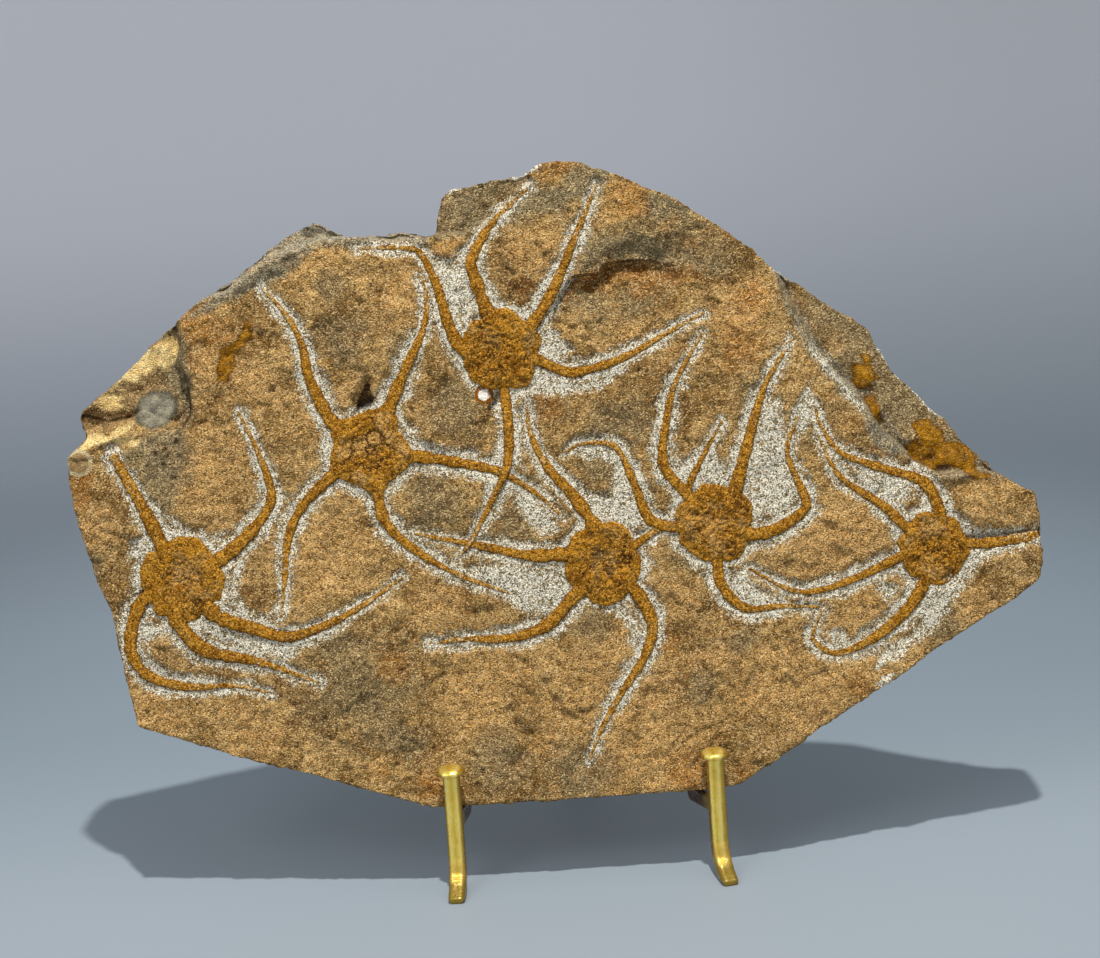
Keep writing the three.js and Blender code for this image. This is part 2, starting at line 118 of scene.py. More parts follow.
def baked(obj):
    """The object's evaluated mesh, with its modifiers removed."""
    bpy.context.view_layer.update()
    mesh = bpy.data.meshes.new_from_object(obj.evaluated_get(bpy.context.evaluated_depsgraph_get()))
    obj.modifiers.clear()
    return mesh


def smooth_step(x):
    x = np.clip(x, 0, 1)
    return x * x * (3 - 2 * x)


def ramp(value, start, end):
    """Goes smoothly from 0 where the value is at start to 1 where it is at end."""
    return smooth_step((value - start) / (end - start))


# ---------------------------------------------------------------- the animals, in millimetres on the face
# Each star has its disc's middle and radius. Some discs have spots that are clean of sand or
# sanded over, as (u, v, radius), and one is worn down to its rosette of plates. Each arm has its
# run, its widths at root and tip, and the places where it rises over another arm.
STARS = {
    "brittle_star_left": {
        "disc": (-61.5, 118.5), "radius": 13.3, "rosette": True,
        "arms": [
            {"run": [(-73.5, 129), (-77.5, 137.5), (-80, 145), (-81, 153), (-83, 159), (-87, 166),
                     (-93, 173.5)], "width": (4.2, 0.7)},
            {"run": [(-55.5, 129.5), (-49, 142.5), (-42, 155.5), (-40, 163), (-40, 168.5), (-41, 174)],
             "width": (4.2, 0.7)},
            {"run": [(-49, 116), (-39, 114), (-25, 110.5), (-18.5, 108), (-8.5, 101), (0.5, 92)],
             "width": (3.9, 0.7)},
            {"run": [(-60, 105), (-57.5, 94), (-47.5, 84), (-35, 76), (-19, 69)], "width": (3.6, 0.7)},
            {"run": [(-73, 112), (-84.5, 102), (-90, 91.5), (-92, 78), (-94, 66)], "width": (3.9, 0.7)},
        ],
    },
    "brittle_star_lower_left": {
        "disc": (-125.5, 81), "radius": 13.3,
        "clean": [(-134, 87.5, 7.5), (-131.5, 72.5, 5.5), (-117, 82.5, 5), (-121, 91, 4)],
        "sanded": [(-124.5, 79.5, 6.5)],
        "arms": [
            {"run": [(-130.5, 91), (-136.5, 105), (-139.5, 111), (-145, 122.5)], "width": (4.2, 2.9)},
            {"run": [(-110.5, 87.5), (-100, 96.5), (-94.5, 106), (-98, 120.5), (-103.5, 134)],
             "width": (4.2, 0.7)},
            {"run": [(-114, 67.5), (-101.5, 62.5), (-94, 60), (-86.5, 60.5), (-71.5, 66),
                     (-53.5, 76.5)], "width": (4.5, 0.7)},
            {"run": [(-127.5, 67), (-119, 57), (-101.5, 52), (-83, 44)], "width": (5.2, 0.7)},
            {"run": [(-139.5, 73.5), (-143.5, 60.5), (-139, 50.5), (-126, 45.5), (-111, 45),
                     (-99.5, 42)], "width": (4.5, 0.7)},
        ],
    },
    "brittle_star_right": {
        "disc": (49, 87.5), "radius": 12.7,
        "sanded": [(49.5, 88, 7)],
        "arms": [
            {"run": [(36.5, 87), (31, 88.2), (27, 91.5), (23, 104), (18, 114.5), (7.5, 116),
                     (2, 113.5)], "width": (3.6, 0.7)},
            {"run": [(40, 98), (33.5, 108), (35.5, 122), (39.5, 134.5), (49, 149.5)],
             "width": (3.6, 0.7)},
            {"run": [(41, 99), (47, 110), (53.5, 120.5)], "width": (2.2, 0.7)},
            {"run": [(56, 97), (60.5, 110), (66, 126), (69.5, 133.5), (78, 145.5)],
             "width": (4.2, 0.7)},
            {"run": [(60.5, 83), (68.5, 84), (77.5, 89), (79, 93.5), (74, 109), (78.5, 120.5)],
             "width": (3.9, 0.7)},
            {"run": [(49, 74.5), (50, 67), (57, 59.2), (69, 59), (81, 58)], "width": (3.6, 0.7)},
        ],
    },
    "brittle_star_centre": {
        "disc": (12, 77), "radius": 12.8,
        "arms": [
            {"run": [(9.5, 89.5), (3.5, 99.5), (-4, 109), (-9, 120.5), (-9.5, 130)],
             "width": (4.5, 0.7)},
            {"run": [(0, 80.5), (-12.5, 81), (-27.5, 85), (-49, 90.5)], "width": (4.2, 0.7)},
            {"run": [(1, 66), (-8.5, 57.5), (-20.5, 54.5), (-34, 55), (-46.5, 54.5)],
             "width": (4.5, 0.7)},
            {"run": [(21.5, 67.5), (26.5, 56.5), (23.5, 46), (15.5, 35), (8, 23.5), (3, 13)],
             "width": (3.9, 0.7)},
            {"run": [(23.5, 82.5), (26.5, 84.5), (31, 87)], "width": (2.8, 1.8)},
        ],
    },
    "brittle_star_far_right": {
        "disc": (119.5, 74.5), "radius": 11.4,
        "sanded": [(120, 83, 5), (119, 69.5, 5.5)],
        "arms": [
            {"run": [(122.5, 85), (118, 96), (105, 101.5), (91.5, 107.5), (85.5, 117), (84, 123.5)],
             "width": (3.9, 0.7)},
            {"run": [(111, 82), (104, 89.5), (92.5, 98), (88.5, 103.5), (84.5, 113.5)],
             "width": (3.3, 0.7)},
            {"run": [(109, 72.5), (96.5, 67.5), (83, 63.5), (72.5, 64), (59, 72)], "width": (3, 0.7)},
            {"run": [(116, 64), (109.5, 55), (98, 46.5), (86, 42.5), (79, 46.5), (79, 50.5), (82, 57)],
             "width": (3.9, 0.7)},
            {"run": [(125, 76), (137.5, 75), (154, 76.5)], "width": (3.2, 2.9)},
        ],
    },
    "brittle_star_top": {
        "disc": (-16.5, 148), "radius": 12.8,
        "arms": [
            {"run": [(-29, 149), (-33, 157), (-36.5, 171.5), (-41, 181.5), (-46.5, 183.5),
                     (-61, 184.5)], "width": (3.9, 0.7)},
            {"run": [(-20.5, 161), (-24.5, 175.5), (-24, 179), (-17.5, 189), (-4, 201)],
             "width": (4.5, 0.7)},
            {"run": [(-6, 156), (2, 167.5), (10.5, 185), (18, 200)], "width": (3.9, 0.7)},
            {"run": [(-4.5, 144), (1, 141), (7.5, 139.5), (22.5, 143), (38, 150.5), (50, 156)],
             "width": (3.6, 0.7)},
            {"run": [(-16.5, 135), (-16, 122.5), (-17.5, 110), (-24.5, 97), (-30.5, 87), (-35, 82)],
             "width": (3.6, 0.8), "over": [(-17.7, 109), (-31, 86)]},
        ],
    },
}
ARM_ROOT = 0.58                     # where an arm starts inside its disc, as a share of the way out
ARM_TAPER = 1.15                    # the power of the way along an arm with which it gets thinner


def spline(points, step):
    """A smooth run through the points (Catmull-Rom), sampled about every step."""
    p = np.array(points, float)
    p = np.vstack([2 * p[0] - p[1], p, 2 * p[-1] - p[-2]])
    out = []
    for a, b, c, d in zip(p, p[1:], p[2:], p[3:]):
        count = max(2, int(np.linalg.norm(c - b) / step))
        t = np.linspace(0, 1, count, endpoint=False)[:, None]
        second, third = 2 * a - 5 * b + 4 * c - d, 3 * b - a - 3 * c + d
        out.append(0.5 * (2 * b + (c - a) * t + second * t**2 + third * t**3))
    return np.vstack(out + [p[-2:-1]])


def arm_run(star, arm, step):
    """The arm's centre line from inside its disc, and how far along it each point is, 0 to 1."""
    disc = np.array(star["disc"])
    root = disc + (np.array(arm["run"][0]) - disc) * ARM_ROOT
    line = spline([root] + arm["run"], step)
    along = np.concatenate([[0], np.cumsum(np.linalg.norm(np.diff(line, axis=0), axis=1))])
    return line, along / along[-1]


def half_widths(arm, along):
    root, tip = arm["width"]
    return (root + (tip - root) * along**ARM_TAPER) / 2


# ---------------------------------------------------------------- areas of the face
# Broad white areas where the matrix was picked away around the animals.
PICKED = [
    [(-39, 181), (-25, 177), (-23, 165), (-26, 155), (-32, 160), (-35, 171)],
    [(-3, 156), (2, 153), (7, 147), (1, 144), (-4, 147)],
    [(-14, 136), (-8, 140), (2, 137), (15, 137), (24, 139), (14, 133), (1, 132), (-8, 133)],
    [(4, 98), (12, 100), (19, 95), (24, 87), (19, 82), (12, 88), (7, 91)],
    [(38, 114), (41, 104), (43, 103), (51, 112), (55, 102), (55, 98), (47, 101), (41, 98), (36, 103)],
    [(1, 113), (8, 115), (15, 115), (20, 112), (22, 104), (24, 94), (27, 88), (22, 87), (17, 91),
     (10, 93), (7, 95), (3, 101), (16, 99), (17, 108), (13, 111), (5, 112)],
    [(82, 50), (89, 51), (91, 47), (85, 45)],
    [(79, 89), (84, 90), (81, 85), (74, 81), (68, 80), (73, 83)],
    [(51, 69), (58, 73), (60, 67), (71, 62), (67, 60), (57, 61), (53, 63)],
    [(62, 109), (67, 125), (73, 127), (74, 116), (75, 106), (77, 96), (74, 89), (65, 89), (60, 97)],
    [(-34, 79), (-22, 79), (-4, 76), (-1, 69), (-8, 61), (-16, 63), (-25, 70)],
    [(-142, 94), (-134, 97), (-133, 92), (-138, 88), (-142, 88)],
    [(-131, 101), (-126, 102), (-123, 98), (-116, 94), (-109, 96), (-111, 91), (-119, 93), (-126, 95)],
    [(-109, 83), (-106, 86), (-103, 87), (-106, 80), (-107, 74), (-104, 70), (-98, 66), (-102, 66),
     (-109, 69), (-111, 73)],
    [(-122, 68), (-117, 69), (-111, 63), (-102, 60), (-93, 58), (-85, 59), (-89, 54), (-93, 51),
     (-104, 55), (-112, 58), (-118, 61)],
    [(-139, 67), (-130, 68), (-128, 65), (-125, 60), (-128, 60), (-132, 63), (-137, 61), (-137, 54),
     (-140, 62)],
    [(97, 102), (110, 97), (115, 91), (106, 90), (96, 96)],
    [(121, 62), (133, 66), (117, 47), (103, 38), (98, 41), (112, 49)],
    [(101, 65), (109, 63), (104, 57), (99, 62)],
    [(50, 75), (55, 65), (62, 61), (55, 57), (49, 65)],
    [(16, 65), (23, 57), (23, 47), (18, 49), (18, 57), (13, 62)],
    [(77, 124), (83, 131), (85, 122), (78, 112)],
    [(-13, 106), (-6, 96), (-1, 88), (-8, 87), (-16, 97)],
    [(-39, 119), (-19, 113), (-13, 114), (-11, 109), (-20, 110)],
    [(125, 74), (154, 75), (141, 71), (129, 66)],
    [(84, 147), (90, 138), (97, 129), (101, 123), (99, 121), (94, 127), (88, 135), (83, 143)],
]
# Stains of the stone: (u, v, radius).
STAINS = {
    "light": [
        (-114, 115, 13), (-79, 88, 16), (-79, 182, 11), (-45, 173, 10), (-5, 181, 8), (-76, 134, 9),
        (30, 150, 7), (3, 180, 7), (90, 80, 15), (143, 90, 9), (63, 33, 11), (-150, 60, 6), (35, 63, 7),
        (-100, 140, 9), (-113, 150, 6), (99, 58, 9), (137, 86, 8), (11, 35, 20), (-45, 69, 8),
        (-32, 35, 11), (23, 12, 16), (78, 28, 14), (-138, 36, 10), (-107, 27, 10), (-152, 102, 6),
        (-29, 182, 5), (50, 176, 6), (-6, 24, 10), (62, 156, 10), (-24, 51, 8), (96, 62, 8),
        (88, 40, 15), (59, 38, 13), (118, 38, 9), (84, 77, 9), (139, 85, 8), (131, 54, 7),
        (-113, 110, 10), (-24, 44, 12)],
    "grey": [
        (-68, 155, 8), (-71, 172, 5), (-32, 131, 10), (-41, 100, 11), (-15, 93, 8), (12, 108, 7),
        (-70, 41, 17), (-58, 24, 8), (-75, 54, 8), (38, 182, 15), (51, 174, 8), (-24, 196, 11),
        (11, 202, 7), (-5, 131, 8), (40, 76, 6), (56, 49, 5), (41, 34, 5), (0, 9, 10), (-155, 87, 5),
        (20, 121, 10), (66, 128, 6), (103, 147, 8), (93, 156, 8), (79, 116, 5), (113, 126, 10),
        (-26, 15, 9), (6, 59, 7), (120, 51, 8), (-31, 87, 6), (-49, 150, 5), (3, 197, 7), (-8, 194, 6),
        (16, 203, 7), (17, 181, 8), (53, 170, 5), (14, 161, 7), (28, 162, 7), (0, 160, 5)],
    "rust": [
        (28, 194, 6), (-117, 164, 6), (-109, 159, 5), (19, 171, 6), (7, 208, 5), (-4, 129, 5),
        (68, 160, 4), (64, 160, 3), (30, 169, 6), (-155, 113, 5), (-65, 15, 5), (-59, 48, 5),
        (30, 51, 5), (92, 32, 4), (46, 172, 7), (61, 145, 7), (4, 171, 5), (-49, 8, 4), (34, 8, 5),
        (52, 5, 4), (-119.5, 165.5, 4), (-114.5, 163, 4), (-110.5, 160, 4)],
}
# Areas with an edge of their own.
AREAS = {
    "oxide": [
        [(-98.5, 165), (-97, 157.5), (-100, 155), (-103, 153), (-103.3, 149), (-105.8, 144),
         (-109, 144), (-109.4, 147), (-107.8, 154.5), (-101.5, 157.5)],
        [(100.6, 139.4), (103, 139.3), (104.8, 137.2), (103.2, 135.4), (100.9, 136.5)],
        [(98, 135.8), (100, 136.6), (103.2, 135.4), (106.3, 131.4), (104.3, 130.6), (102.3, 128.3),
         (99.4, 128.5), (97.7, 131.5)],
        [(101, 126), (104, 126.3), (105.4, 122.8), (106.3, 117), (104.4, 117.6), (101.8, 122)],
        [(115.8, 115.4), (118.3, 117), (122, 116), (125.2, 113), (126.8, 109), (133.5, 108),
         (136, 104.5), (135.5, 99), (142.3, 97), (134, 96), (130.6, 100), (126, 101.8), (121, 100.2),
         (118.3, 102.3), (114.6, 105), (113, 108.4), (117.4, 111)],
    ],
    "cream": [
        [(-146, 144.5), (-139.7, 152.3), (-132, 157.5), (-123.7, 160.2), (-121.2, 156), (-126, 148),
         (-131.7, 150), (-136, 145.5), (-141, 146.6), (-145.2, 143.7)],
        [(-150, 142.3), (-141.2, 142.6), (-141.4, 138.5), (-145.6, 137.2), (-151, 139)],
        [(-145, 129), (-136, 128), (-137.4, 125), (-145, 125.6)],
        [(-157.5, 127), (-152.5, 130.5), (-146, 129.5), (-141, 133), (-137, 133), (-141, 129),
         (-147, 126.3), (-151, 126), (-155, 124)],
    ],
    "slate": [
        [(-37, 188), (-27.5, 190), (-18, 191.4), (-12.7, 196), (-5, 200), (2, 198.7), (9, 205),
         (23, 205), (22, 201), (17, 199.6), (9, 194.3), (1.3, 191), (-5.3, 192), (-13.2, 189),
         (-25, 186), (-37.4, 184)],
        [(9.7, 173.2), (14, 178.7), (20, 182), (27.7, 184.5), (35.2, 181), (44.6, 178.6), (53.8, 173.2),
         (56.5, 170), (48, 170.2), (38.4, 172.5), (29, 174.6), (21.3, 174.4), (16.3, 171.4),
         (11.5, 170.7)],
        [(34.3, 197.5), (43.6, 193), (49.2, 189.8), (47, 187), (41.4, 188.4), (35.6, 187.8),
         (34, 191.7)],
        [(-146, 121), (-138, 127), (-131, 129), (-121, 129.5), (-122, 119), (-125, 106), (-129, 101),
         (-139, 104)],
        [(-123.7, 160.2), (-120.6, 158.3), (-120, 154.2), (-118.7, 149.2), (-118.6, 142), (-120, 134.7),
         (-122.7, 139), (-125.7, 142.4), (-128, 146.6), (-126.3, 151.4), (-123.3, 154.4)],
    ],
    "ochre": [
        [(20.2, 200.3), (26, 201.4), (34, 198.5), (34, 193.7), (31, 189), (26, 187.5), (20.3, 188.8),
         (18.3, 193.7)],
        [(-4.4, 206), (2.4, 207.3), (7, 205), (6.8, 200.7), (0, 200.7), (-4.6, 203)],
        [(-37.3, 186), (-25, 186), (-26, 181.4), (-33.8, 181.4), (-37.5, 183)],
        [(-120.8, 167.3), (-113.3, 169), (-111, 165), (-114, 159.5), (-118.8, 160.7), (-122.6, 164)],
    ],
    # Painted shadow just under the ledge's rim.
    "ledge_rim_shadow": [
        [(6.6, 169), (11.5, 170.2), (17.3, 171), (19.3, 173.7), (29, 174), (30.7, 171.8), (23, 171.4),
         (19, 167.8), (15, 166.2), (8.4, 167.4)],
        [(-14.6, 168), (-12.5, 171), (-6.7, 171.5), (-4, 169), (-7, 165.7), (-12.8, 166)],
    ],
    "greenish": [
        [(74, 171.8), (79, 158), (83, 149), (89.3, 142), (94.6, 135), (99, 128), (101.2, 119.3),
         (105.6, 114.2), (111.2, 111), (112.7, 105), (106, 106.5), (100.7, 111.6), (99.3, 119.4),
         (94, 125.5), (88.7, 133.5), (83.5, 141.5), (80, 148.4), (77, 157.3), (74.5, 165)],
        [(-122.4, 164), (-112.2, 169.7), (-103, 175.6), (-92, 181.4), (-83, 188.4), (-76, 193.4),
         (-67, 193.3), (-61, 190.2), (-56.8, 186.7), (-52.6, 184.8), (-57, 184.5), (-65.6, 185.6),
         (-74.3, 185.7), (-80, 181), (-86.8, 176.2), (-96.8, 173), (-105.7, 169.3), (-112.4, 166.5)],
    ],
    # A hole, painted near black with painted shade.
    "pithole": [
        [(-61.3, 141.2), (-60, 139.6), (-60.3, 136.8), (-58.6, 135), (-59.5, 133.5), (-62, 132.4),
         (-64.2, 131.4), (-66, 131.7), (-65.2, 134.3), (-63.4, 136.6), (-62, 138.6)],
    ],
    "smooth": [
        [(-137.9, 136.1), (-136.3, 140.7), (-131.8, 143.3), (-126.4, 142.8), (-123.2, 139.2),
         (-123.7, 134.7), (-127.5, 130.8), (-132.8, 129.9), (-136.9, 132.3)],
    ],
}
# Narrow things: dark pits and cracks, grey-olive strips, dusty edges, and the paint of a steep step.
LINES = {
    # Pits, dark with painted shade in them.
    "pit": [
        [(-127.8, 123)],
        [(-128.5, 118.5)],
        [(-124, 126)],
        [(-131, 122.4)],
        [(-123, 120.5)],
        [(-126, 114)],
        [(122.5, 100.6), (126, 101)],
        [(-20, 131.5), (-21.5, 129.8)],
    ],
    # Cracks; the first runs along the foot of the ledge's rim as its painted shadow.
    "crack_and_ledge_shadow": [
        [(8.6, 170.4), (14, 170.6), (16.8, 171), (19, 173.6), (23.2, 174.3), (29, 174.5), (34.7, 173.7),
         (41.3, 172)],
        [(-120, 143), (-119.4, 139), (-119.9, 134), (-122, 130)],
        [(-157, 137), (-147.4, 134.4), (-140, 135)],
        [(138, 76.6), (146, 76), (157, 77)],
        [(-141, 76.5), (-133, 80), (-126, 82), (-125, 92)],
    ],
    # Grey-olive strips on the steps by the corner.
    "olive_grey_strip": [
        [(-123.6, 162), (-120.7, 156.7), (-124, 151), (-120, 146), (-120, 140.4), (-121, 132)],
        [(-134.8, 126), (-125, 128), (-121, 122), (-122, 113)],
        [(-131, 120), (-127, 116)],
    ],
    "dust": [
        [(107.4, 141), (112.6, 133), (118, 126.8), (123.2, 119.7), (127, 117.6)],
        [(-31, 202.2), (-27, 203)],
        [(-12.5, 206), (-7.3, 205.5), (-1.4, 207.5)],
        [(59, 187), (66, 181), (73, 173)],
        [(74.3, 169), (78, 166.3)],
        [(-153, 143.5), (-157, 138.5)],
        [(98.7, 36.9), (102.9, 40.9), (107.8, 42.2)],
        [(99, 31.4), (104, 34.5)],
    ],
}
RING = (-156.2, 120.8, 4.1)         # a round shell section at the slab's left tip: middle and radius
QUARTZ = (-23.2, 134.2)             # the middle of a quartz crystal


def inside_distance(rim, flat):
    """Signed distance to a closed outline, positive inside, for points (n, 2)."""
    rim = np.array(rim, float)
    inside = np.zeros(len(flat), bool)
    nearest = np.full(len(flat), np.inf)
    x, y = flat[:, 0], flat[:, 1]
    for (ax, ay), (bx, by) in zip(rim, np.roll(rim, -1, axis=0)):
        crosses = (ay > y) != (by > y)
        inside ^= crosses & (x < ax + (bx - ax) * (y - ay) / (by - ay if by != ay else 1))
        length = (bx - ax) ** 2 + (by - ay) ** 2
        along = np.clip(((x - ax) * (bx - ax) + (y - ay) * (by - ay)) / length, 0, 1)
        nearest = np.minimum(nearest, np.hypot(x - ax - along * (bx - ax), y - ay - along * (by - ay)))
    return np.where(inside, nearest, -nearest)


def distance_to_line(flat, line):
    """Distance to an open line of one or more points."""
    x, y = flat[:, 0], flat[:, 1]
    away = np.hypot(x - line[0][0], y - line[0][1])
    for (ax, ay), (bx, by) in zip(line, line[1:]):
        length = (bx - ax) ** 2 + (by - ay) ** 2
        along = np.clip(((x - ax) * (bx - ax) + (y - ay) * (by - ay)) / length, 0, 1)
        away = np.minimum(away, np.hypot(x - ax - along * (bx - ax), y - ay - along * (by - ay)))
    return away


# ---------------------------------------------------------------- slab
VOXEL = 0.98 * MM
SMOOTHING = 5                       # rounds that take the voxels' steps off
TURNED_FROM = 0.3                   # how far a normal points front or back before its side counts
TURNED_OVER = 0.3                   # and how much farther until it counts in full
BACK_SHARE = 0.62                   # share of the triangles kept when the back is thinned out
SKIN = 0.8                          # the rough surface stays this far inside the plain solid, millimetres
OUTSIDE = -5.0                      # stored for an area where the stone doesn't face front

# The strips picked away around the animals, in millimetres.
RUN_STEP = 0.8                      # between the points of an arm that distances are taken from
TRENCH, TRENCH_WALL = 0.8, 1.2      # the strips' depth, and how far inside them it is reached
HALO, HALO_WANDER = 3.7, 0.4        # usual width beside an arm, and the share by which it varies
TIP_TAPER, TAPER_FROM = 1.3, 0.35   # how much narrower they are at an arm's tip, and from where on
BESIDE_ARM, AWAY_FROM_ARM = 1.6, 2  # how fresh they are right beside an arm, and the rise away from it
FOOT_TOP, FOOT_REACH = 8, 26        # near the slab's foot they narrow and fade
FOOT_NARROWING, FOOT_FADE = 0.15, 0.9
AREA_WANDER, AREA_REACH, AREA_DEPTH = 0.8, 0.6, 2.4    # of the broad picked areas

# Every noise here loses strength and gains fineness from one octave to the next by these.
ROUGH_POWER, ROUGH_FINER = 0.9, 2.1
# The roughness of the stone: size of its lumps in millimetres, octaves and seed.
NOISES = {"wander": (5, 3, 7.3), "coarse": (13, 4, 1.9), "medium": (4.5, 4, 0.0),
          "chisel": (1.8, 2, 9.2), "crags": (3.4, 4, 4.4)}
CRAG_LEVEL = 0.25                   # taken off the crags, so that they both rise and fall
BEDDING, BEDDING_STRETCH = (7, 4, 5.7), (1, 1, 0.3)
# How far each roughness moves the surface, in millimetres, on the face, the flanks and the back.
FACE_COARSE, FACE_MEDIUM, FACE_BEDS, FACE_CRAGS = 0.8, 0.25, 0.6, 0.5
BIG_CHIP, BIG_CHIP_RISE, SMALL_CHIP, SMALL_CHIP_RISE, CHIP_SHIFT = 12, 0.9, 4.5, 0.4, 31
FLANK_BEDDING, FLANK_MEDIUM, FLANK_SUNK = 1.3, 0.4, 0.5
BACK_COARSE, BACK_MEDIUM, BACK_SUNK = 0.8, 0.4, 0.2
CALM_SHELF, CALM_SHELF_IN = 0.6, 4  # the shoulder's lower bed is smoother, this far inside its rim
CALM_STRIP, CHISEL_DEPTH = 0.6, 0.3 # the picked strips are smoother, but chiselled
HIGHEST = 1.6                       # nothing on the face stands out more than this
# How the roughness sets where painted shade goes in its hollows and a painted highlight on its high
# points.
HOLLOW_COARSE, HOLLOW_MEDIUM, HOLLOW_CRAGS, HOLLOW_LEVEL = 0.35, 0.8, 1.3, 0.1

# Thin beds: the noise that they follow, how many there are to it, and the steepness of their edges.
BED_NOISE, BED_COUNT, BED_EDGE = (30, 5, 11.4), 3.2, 0.22
# Facets: how far their borders are bent, by how fine a turbulence, and what sets their tilts apart.
CHIP_BEND, CHIP_BEND_SCALE, CHIP_TILT_SCALE = 0.35, 1.7, 9.7
CHIP_SEED = 1                       # of the turbulence, which otherwise differs from run to run

# The plain solid turns down into a hollow over this width, from this far outside the rim.
PLAIN_SLOPE, PLAIN_START = 13, 4
# Where the bed has broken down to a lower one: depth, how sharply its rim falls, how far the rim
# wanders, and the rim. A hollow with a fade gets shallower from one height down to another.
HOLLOWS = {
    "shoulder": {"depth": 7, "slope": 3.2, "wander": 0.8, "rim": [
        (66, 184), (72, 171), (76, 161), (80.5, 150), (86, 140), (91.5, 132), (97.7, 125),
        (102.4, 116.3), (108, 109), (118, 101), (125.5, 96.5), (131, 97), (141, 97), (150, 97),
        (170, 96), (150, 130), (110, 175), (80, 190)]},
    "corner": {"depth": 7, "slope": 3, "wander": 1.0, "rim": [
        (-121, 172), (-120, 163), (-120, 156), (-121, 150), (-118.5, 146), (-118.5, 134), (-122, 129.5),
        (-129, 130.5), (-135, 134), (-140, 132.5), (-147, 129), (-153, 131), (-160, 127), (-172, 130),
        (-175, 145), (-135, 185)]},
    "crown": {"depth": 4, "slope": 2.5, "wander": 2.2, "rim": [
        (-40, 186), (-27, 186), (-16, 190), (-9, 199), (-3, 204), (-3, 214), (-45, 214)]},
    "bevel": {"depth": 6, "slope": 4, "wander": 1.2, "rim": [
        (-128, 176), (-116, 169), (-104, 172), (-94, 179), (-84, 184), (-74, 187), (-62, 188),
        (-50, 184), (-38, 185), (-34, 205), (-80, 205)]},
    "ledge": {"depth": 3, "slope": 1.0, "wander": 0.7, "fade": (173, 146), "rim": [
        (0, 158), (3, 165), (8.6, 170.2), (13.6, 168.4), (17.2, 170.3), (19.3, 173), (27, 174),
        (34.6, 173), (41.2, 171), (47.8, 169.6), (56, 168), (66, 163), (62, 150), (40, 140),
        (10, 145)]},
}
# The ledge loses part of its height towards the right, between these two places.
LEDGE_LOSS, LEDGE_LOSS_RUN = 0.7, (18, 52)
# Cracks and, where the depth is negative, ridges: (points, half width, depth).
CRACKS = [
    ([(-60.7, 140.5), (-62.1, 137.3), (-63.4, 134)], 1.8, 2.6),
    ([(-19, 133), (-17.5, 133.5)], 1.6, 2.2),
    ([(156, 77.5), (142, 77.2), (128, 77)], 0.7, 2.0),
    ([(-120, 146), (-119.9, 134), (-122.6, 128.3)], 0.9, 1.5),
    ([(-157, 137), (-147.4, 134), (-140, 135)], 2.0, 0.8),
    ([(112.9, 108.5), (117.5, 103), (125, 101), (131, 100)], 0.8, 0.6),
    ([(33, 2), (36, 9), (43, 15), (47, 22)], 0.5, 0.8),
    ([(-57, 24), (-53, 23), (-51, 20)], 0.5, 0.9),
    ([(-98, 4), (-94, 14), (-97, 22)], 0.5, 0.7),
    ([(-150, 98), (-140, 94), (-134, 97)], 0.4, 0.6),
    ([(27, 13), (40, 20), (52, 25), (60, 33)], 0.45, 0.6),
    ([(-156, 125), (-150, 128.5), (-143, 130), (-136, 132)], 2.6, -2.0),
    ([(-132, 128.5), (-126, 127)], 1.6, -0.9),
]
# Lumps: (u, v, radius, height).
LUMPS = [
    (-130.8, 136.5, 7.6, 4.3), (-137, 148, 5, 1.2), (101.5, 132, 4.2, 1.4), (104, 121, 2.8, 0.9),
    (102.5, 137.4, 2, 0.8), (119, 110, 6, 1.4), (130, 103, 6, 1.2), (-156.2, 120.8, 4.1, 1.0),
]
CRACK_FLOOR, CRACK_WANDER = 1.6, 0.4    # flat floor and ragged sides of the cracks
LUMP_ROUNDNESS = 0.6                # the power of a lump's fall to its rim; one half is a half ball

# Marks that follow the rims, in millimetres inside them or up the face.
STEP_MIDDLE, STEP_HALF, STEP_WIDER, STEP_WIDENS = 2.6, 2.4, 1.6, (150, 120)
SHELF_RISE, SHELF_LEAST, SHELF_GAIN, SHELF_GAINS = (3, 6), 0.35, 0.65, (150, 125)
CROWN_RISE, CROWN_MOST = 4, 0.8
BEVEL_RISE = 2.5
# The painted shadow in a strip under the ledge: its middle and half width inside the rim, where it starts
# up the face and over what rise, and how it fades to the right.
LEDGE_MIDDLE, LEDGE_HALF, LEDGE_BOTTOM, LEDGE_RISE = 2.0, 2.4, 160, 6
LEDGE_FADE, LEDGE_FADES = 0.6, (22, 52)
STAIN_SPREAD = 1.6                  # a stain dies out at its radius times this
CLEAR_OF_STONE = 40                 # a height above everything on the face


def fossil_distance(flat):
    """Distance to the nearest arm or disc, negative on it; an arm counts for less towards its tip."""
    middles, reaches = [], []
    for star in STARS.values():
        for arm in star["arms"]:
            line, along = arm_run(star, arm, RUN_STEP)
            middles.append(line)
            taper = smooth_step((along - TAPER_FROM) / (1 - TAPER_FROM))
            reaches.append(half_widths(arm, along) - TIP_TAPER * taper)
    middles, reaches = np.vstack(middles), np.concatenate(reaches)
    tree = KDTree(len(middles))
    for i, (u, v) in enumerate(middles):
        tree.insert((u, v, 0), i)
    tree.balance()
    distance = np.empty(len(flat))
    for i, (u, v) in enumerate(flat):
        _, nearest, away = tree.find((u, v, 0))
        distance[i] = away - reaches[nearest]
    for star in STARS.values():
        distance = np.minimum(distance, np.hypot(*(flat - star["disc"]).T) - star["radius"])
    return distance


